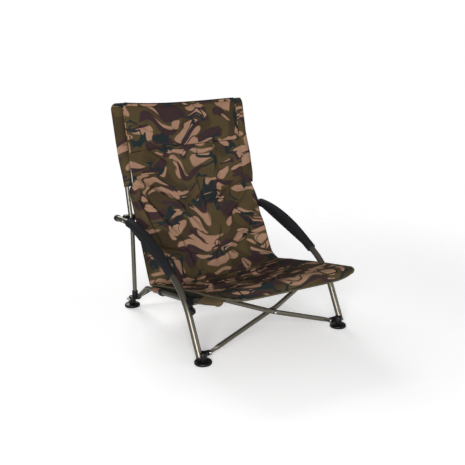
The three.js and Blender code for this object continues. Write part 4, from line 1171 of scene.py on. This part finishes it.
def makeSleeve(sideName, side):
    path = sidePath("post", side)
    top = routeLength(path) + (sling["topRise"] - side * sling["topSkew"]) / postLean[1]
    length = (slingTop[sideName] - sling["sleeveBottom"][sideName]) / postLean[1]
    stations = np.linspace(top - length, top - 0.6 * mm, sleeve["rows"])
    centre = pathPoints(path, stations)
    angle = np.linspace(0, 2 * np.pi, sleeve["sides"], endpoint=False)
    fromTop = (top - stations)[:, None]
    gather = ease(fromTop, 0, sleeve["topGather"])
    heights, reach = np.array(sleeve["reach"][sideName])[::-1].T
    outer = np.interp(centre[:, 2], heights * mm, reach * mm)[:, None]
    corner = sleeve["corner"] - np.sqrt(np.clip(
        sleeve["corner"] ** 2 - np.clip(sleeve["corner"] - fromTop, 0, None) ** 2, 0, None))
    out, turn = np.cos(angle)[None, :], np.sin(angle)[None, :]
    low, high = -sleeve["inner"], outer - corner * outer / sleeve["inner"]
    lateral = (low + high) / 2 + (high - low) / 2 * out
    lens = ((sleeve["depth"] - sleeve["thin"]) * gather + sleeve["thin"]) * np.abs(turn) ** 1.4
    post = np.sqrt(np.clip(sleeve["round"] ** 2 - lateral ** 2, 0, None)) * ease(fromTop, 6 * mm, 14 * mm)
    along = np.broadcast_to(stations[:, None], lateral.shape)
    crumple = crumpled(lateral, along, ((1.2 * mm, 0.07, 21 + side), (0.7 * mm, 0.025, 25)))
    deep = np.maximum(lens + np.maximum(crumple, -1.5 * mm) * gather * np.abs(turn) ** 0.8, post)
    back = np.array((0.0, postLean[1], -postLean[0]))
    deep = deep * np.sign(turn)
    points = centre[:, None, :] + side * lateral[..., None] * across + deep[..., None] * back
    addCloth(f"postSleeve_{sideName}", points, "cloth", f"{sideName}_side", (f"post_sleeve_{sideName}",),
             drift=(0.9 * side, 0.4), closed=True, thickness=sleeve["cloth"])


for sideName, side in sides.items():
    makeSleeve(sideName, side)


# Head panel: a thin pad on the front of the back, thickest in its middle

headPad = {
    "top": 0.014,
    "bottom": 0.232,
    "skew": 0.036,
    "half": 0.985,
    "rim": 0.8 * mm,
    "loft": 9 * mm,
    "gap": 1.3 * mm,
    "columns": 151,
    "rows": 84,
    "folds": (((-0.225, 0.685), (-0.15, 0.645), 6 * mm, 5 * mm),
              ((-0.16, 0.635), (0.10, 0.660), 5 * mm, 7 * mm),
              ((0.20, 0.70), (0.04, 0.66), 2 * mm, 10 * mm),
              ((0.22, 0.64), (0.05, 0.62), 2 * mm, 8 * mm)),
    "waves": ((1.4 * mm, 0.12, 41), (0.7 * mm, 0.04, 42)),
}


def headFace(u, v, lift):
    bottom = headPad["bottom"] + headPad["skew"] * (1 - u) / 2
    points = backPlace(u * headPad["half"], headPad["top"] + v * (bottom - headPad["top"]))
    points[..., 1] -= lift
    return points


# The front and rear faces make one ring in each row, and the ends are closed along the middle of a ring.
def makeHeadPad():
    u, v = clothShares(headPad["columns"], headPad["rows"])
    loft = (1 - np.abs(u) ** 8) ** 0.6 * (1 - np.abs(2 * v - 1) ** 6) ** 0.6
    base = headFace(u, v, 0)
    x, z = base[..., 0], base[..., 2]
    least = headPad["gap"] + headPad["rim"]
    relief = crumpled(x, z, headPad["waves"]) + foldRelief(x, z, headPad["folds"])
    faceFront = headFace(u, v, np.maximum(least + loft * headPad["loft"] + loft * relief, least))
    faceRear = headFace(u, v, headPad["gap"])
    rings = np.concatenate([faceFront, faceRear[:, ::-1]], axis=1)
    flat = flatPlaces(faceFront) + (2.3, 0.7)
    flat = np.concatenate([flat, flat[:, ::-1]], axis=1)
    first, last = ((ring + ring[:, ::-1]) / 2 for ring in (rings[:1], rings[-1:]))
    rings = np.concatenate([first, rings, last], axis=0)
    flat = np.concatenate([flat[:1], flat, flat[-1:]], axis=0)
    pad = addSolid("headPad", rings, "cloth", "left_side", ("head_panel",),
                   sharpAngle=sling["sharpAngle"], flat=flat)
    foldsWithFrame(pad)


makeHeadPad()
print("sleeves and head pad made")


# Edging, binding, loops and corner pockets

# The pad seam is the dark cord under the head pad: a seam whose near-black colour is also painted shadow
# below the pad's lower edge.
edging = {"hem": 3.0 * mm, "hemLead": 1.2 * mm, "top": 2.0 * mm, "topLift": 0.6 * mm, "back": 1.3 * mm,
          "seat": 3.0 * mm, "seam": 2.0 * mm, "padShadowSeam": 1.5 * mm, "padShadowSeamLift": 0.4 * mm}
hemColumn = {"left": 0, "right": -1}


# A round cord along a line, with rounded ends
def addCord(name, line, radius, finish, replaced=(), side=forward, count=10):
    length = routeLength(line)
    turn = np.linspace(0, np.pi / 2, 5)[:-1]
    straight = np.linspace(0, length, max(int(length / 0.004), 8))
    stations = np.concatenate([-radius * np.cos(turn), straight, length + radius * np.cos(turn[::-1])])
    ends = radius * (np.sin(turn) + 0.02)
    radii = np.concatenate([ends, np.full(len(straight), radius), ends[::-1]])
    rings = sweep(line, stations, radii, side=side, count=count)
    flat = woundPlaces(2 * np.pi * radius, count, stations)
    foldsWithFrame(addSolid(name, rings, finish, "left_side", replaced, flat=flat))


addCord("hemBinding", seatPoints[-1] - (0, edging["hemLead"], 0), edging["hem"], "hem", ("front_binding",))
addCord("topEdging", backPoints[0][3:-3] + (0, 0, edging["topLift"]), edging["top"], "edging")
for sideName in sides:
    backLine = backPoints[:, hemColumn[sideName]]
    below = backLine[backLine[:, 2] < sling["sleeveBottom"][sideName] - 2 * mm]
    addCord(f"backEdging_{sideName}", below, edging["back"], "edging", side=across)
    addCord(f"seatEdging_{sideName}", seatPoints[3:, hemColumn[sideName]], edging["seat"], "hem", side=across)

patch = {"inner": {"left": 0.180, "right": 0.130}, "wide": 0.056, "rear": -0.314, "front": -0.374,
         "lift": 0.9 * mm}


# The seam round a stitched patch: a cord sunk into the cloth, through the seat's points nearest a rectangle
def makePatchSeam(sideName, side):
    inner, rear, front = patch["inner"][sideName], patch["rear"], patch["front"]
    outer = inner + patch["wide"]
    corners = np.array([(inner, rear), (outer, rear), (outer, front), (inner, front), (inner, rear)])
    share = np.linspace(0, 1, 14)[:-1, None]
    spots = np.vstack([a + (b - a) * share for a, b in zip(corners, corners[1:])]) * (side, 1)
    x, y = seatPoints[..., 0], seatPoints[..., 1]
    nearest = [np.argmin((x - spotX) ** 2 + (y - spotY) ** 2) for spotX, spotY in spots]
    line = seatPoints.reshape(-1, 3)[nearest + nearest[:1]] + (0, 0, patch["lift"])
    addCord(f"patchSeam_{sideName}", line, edging["seam"], "edging", count=6)


for sideName, side in sides.items():
    makePatchSeam(sideName, side)
# A dark cord along the head pad's lower edge: a seam, and its near-black colour is painted shadow under the
# pad.
addCord("headPadShadowSeam", headFace(np.linspace(-0.98, 0.98, 80), 1.0, headPad["gap"] + edging["padShadowSeamLift"]),
        edging["padShadowSeam"], "edging", count=8)


# Places on the seat's side hem at the given depths, and the height of the rail's axis there
def hemPlaces(sideName, depth):
    edge = seatPoints[:, hemColumn[sideName]]
    edge = edge[np.argsort(edge[:, 1])]
    return np.column_stack([np.interp(depth, edge[:, 1], edge[:, k]) for k in range(3)])


def railHeights(depth):
    return np.interp(depth, railWhole[::-1, 0], railWhole[::-1, 1])


shadeSkirt = {"from": -0.258, "to": 0.135, "tuck": 3 * mm, "inset": 6 * mm, "least": 4 * mm, "cloth": 1.0 * mm,
         "rows": 140, "columns": 9}


# A narrow strip of cloth joins the seat's side hem to the rail below it. Its near-black colour is painted
# shade in the gap under the hem.
def makeShadeSkirt(sideName, side):
    depth = np.linspace(shadeSkirt["to"], shadeSkirt["from"], shadeSkirt["rows"])
    top = hemPlaces(sideName, depth)
    railTop = railHeights(depth) + sideFrame["railFront"]["radius"]
    lateral = np.full_like(depth, side * (sideFrame["railRear"]["lateral"] - shadeSkirt["inset"]))
    low = np.minimum(railTop - shadeSkirt["tuck"], top[:, 2] - shadeSkirt["least"])
    bottom = np.column_stack([lateral, depth, low])
    share = np.linspace(0, 1, shadeSkirt["columns"])[None, :, None]
    points = top[:, None, :] * (1 - share) + bottom[:, None, :] * share
    ripple = crumpled(points[..., 1], points[..., 2], ((0.8 * mm, 0.03, 51 + side),))
    points[..., 0] += ripple * np.sin(np.pi * share[..., 0])
    # near-black edging cloth: painted shade under the seat's side hem
    addCloth(f"sideShadeSkirt_{sideName}", points, "edging", f"{sideName}_side", (),
             thickness=shadeSkirt["cloth"])


loop = {"radius": 10.2 * mm, "bore": 8.4 * mm, "ripple": 0.25 * mm, "inset": 3 * mm, "rows": 24, "sides": 32}


def makeLoop(sideName, side):
    path = inPlane(railWhole, side * sideFrame["railRear"]["lateral"])
    low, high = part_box(f"seat_loop_{sideName}")
    lengths = np.linspace(0, routeLength(path), 800)
    depths = pathPoints(path, lengths)[:, 1]
    inside = lengths[(depths < high.y - loop["inset"]) & (depths > low.y + loop["inset"])]
    stations = np.linspace(inside[0], inside[-1], loop["rows"])
    radii = loop["radius"] + loop["ripple"] * np.sin(np.linspace(0, 9, loop["rows"]))
    rings = np.concatenate([sweep(path, stations, radii, count=loop["sides"]),
                            sweep(path, stations[::-1], loop["bore"], count=loop["sides"])])
    addSolid(f"railLoop_{sideName}", rings, "loop", f"{sideName}_side", (f"seat_loop_{sideName}",),
             closedRows=True, flat=woundPlaces(0.06, loop["sides"], np.linspace(0, 0.07, len(rings))))


pocket = {"from": -0.256, "to": {"left": -0.380, "right": -0.357}, "half": 15.5 * mm, "below": 11.7 * mm,
          "tip": -0.344, "sides": 40, "rows": 60, "wall": 1.5 * mm}


# A drop-shaped sock: its top hangs from the seat's side hem, and its belly goes round the rail and its tip.
def makePocket(sideName, side):
    end = pocket["to"][sideName]
    depth = np.linspace(pocket["from"], end, pocket["rows"])
    hem, rail = hemPlaces(sideName, depth), railHeights(depth)
    top, edgeOut = hem[:, 2] - 1.5 * mm, np.abs(hem[:, 0]) - 2 * mm
    past = ease(-depth, -pocket["tip"], -end)
    start = ease(depth, pocket["from"] - 8 * mm, pocket["from"])
    bottom = (rail - pocket["below"]) * (1 - past) + (top - 5 * mm) * past + 3 * mm * start
    half = pocket["half"] * (1 - past) + 2.5 * mm * past
    angle = np.linspace(0, 2 * np.pi, pocket["sides"], endpoint=False)
    up = (1 + np.cos(angle)) / 2
    railOut = sideFrame["railFront"]["lateral"]
    middle = railOut + (edgeOut - railOut)[:, None] * up ** 3

    def section(inset):
        z = bottom[:, None] + inset + (top - bottom - 2 * inset)[:, None] * up
        belly = np.sqrt(np.clip(1 - ((z - rail[:, None]) / (half[:, None] * 1.35)) ** 2, 0.04, 1))
        wide = (half[:, None] * np.maximum(belly, 0.16) - inset) * np.sin(angle)
        return np.stack([side * (middle + wide), np.broadcast_to(depth[:, None], z.shape), z], axis=-1)

    rings = np.concatenate([section(0.0), section(pocket["wall"])[:-3][::-1]])
    addSolid(f"cornerPocket_{sideName}", rings, "pocket", f"{sideName}_side", (f"corner_pocket_{sideName}",),
             closedRows=True, flat=woundPlaces(0.08, pocket["sides"], np.linspace(0, 0.3, len(rings))))


for sideName, side in sides.items():
    makeShadeSkirt(sideName, side)
    makeLoop(sideName, side)
    makePocket(sideName, side)
    for node in ("post_cap", "rail_tip"):
        mouldedCopy(f"{node}_moulding_{sideName}", f"{node}_{sideName}", "plastic", f"{sideName}_side",
                    0.4 * mm)
print("edging, loops and pockets made")


# Floor, surroundings and finish

ground = {"radius": 1.75, "clear": 0.75, "rim": 0.05, "colour": (0.95, 0.95, 0.95, 1.0), "rough": 0.9,
          "paler": 0.27, "sides": 96}


# The floor is a disc that fades out towards its rim, where only the white room is left.
def makeFloor():
    turn = np.linspace(0, 2 * np.pi, ground["sides"] + 1)[:-1]
    points = np.column_stack([np.cos(turn), np.sin(turn), 0 * turn]) * ground["radius"]
    mesh = bpy.data.meshes.new("paleFloor")
    mesh.from_pydata(points.tolist(), [], [tuple(range(len(points)))])
    made, tree, shader = material("paleFloor")
    distance = place(tree, "ShaderNodeVectorMath", {0: objectPlace(tree)}, operation="LENGTH")
    rays = place(tree, "ShaderNodeLightPath").outputs
    feed(tree, shader, {
        "Alpha": ranged(tree, distance.outputs["Value"], ground["clear"], ground["radius"] - ground["rim"],
                        1.0, 0.0, interpolation_type="SMOOTHSTEP"),
        "Emission Strength": math(tree, "MULTIPLY", rays["Is Camera Ray"], ground["paler"]),
        "Emission Color": (1.0, 1.0, 1.0, 1.0),
        "Base Color": ground["colour"],
        "Roughness": ground["rough"],
    })
    mesh.materials.append(made)
    inScene("paleFloor", mesh)


room = {"colour": (1, 1, 1, 1), "soft": 0.17, "white": 1.0}


# White to the camera and in reflections, and a softer light on the object itself
def makeWorld():
    world = bpy.data.worlds.new("paleRoom")
    world.use_nodes = True
    tree = world.node_tree
    tree.nodes.clear()
    rays = place(tree, "ShaderNodeLightPath").outputs
    seen = math(tree, "MAXIMUM", rays["Is Camera Ray"], rays["Is Transmission Ray"])
    soft, white = (place(tree, "ShaderNodeBackground", {"Color": room["colour"], "Strength": room[key]})
                   for key in ("soft", "white"))
    both = place(tree, "ShaderNodeMixShader", {0: seen, 1: soft.outputs[0], 2: white.outputs[0]})
    place(tree, "ShaderNodeOutputWorld", {0: both.outputs[0]})
    bpy.context.scene.world = world


makeCamera()
makeLamps()
makeFloor()
makeWorld()
bpy.context.scene.view_settings.view_transform = "Standard"
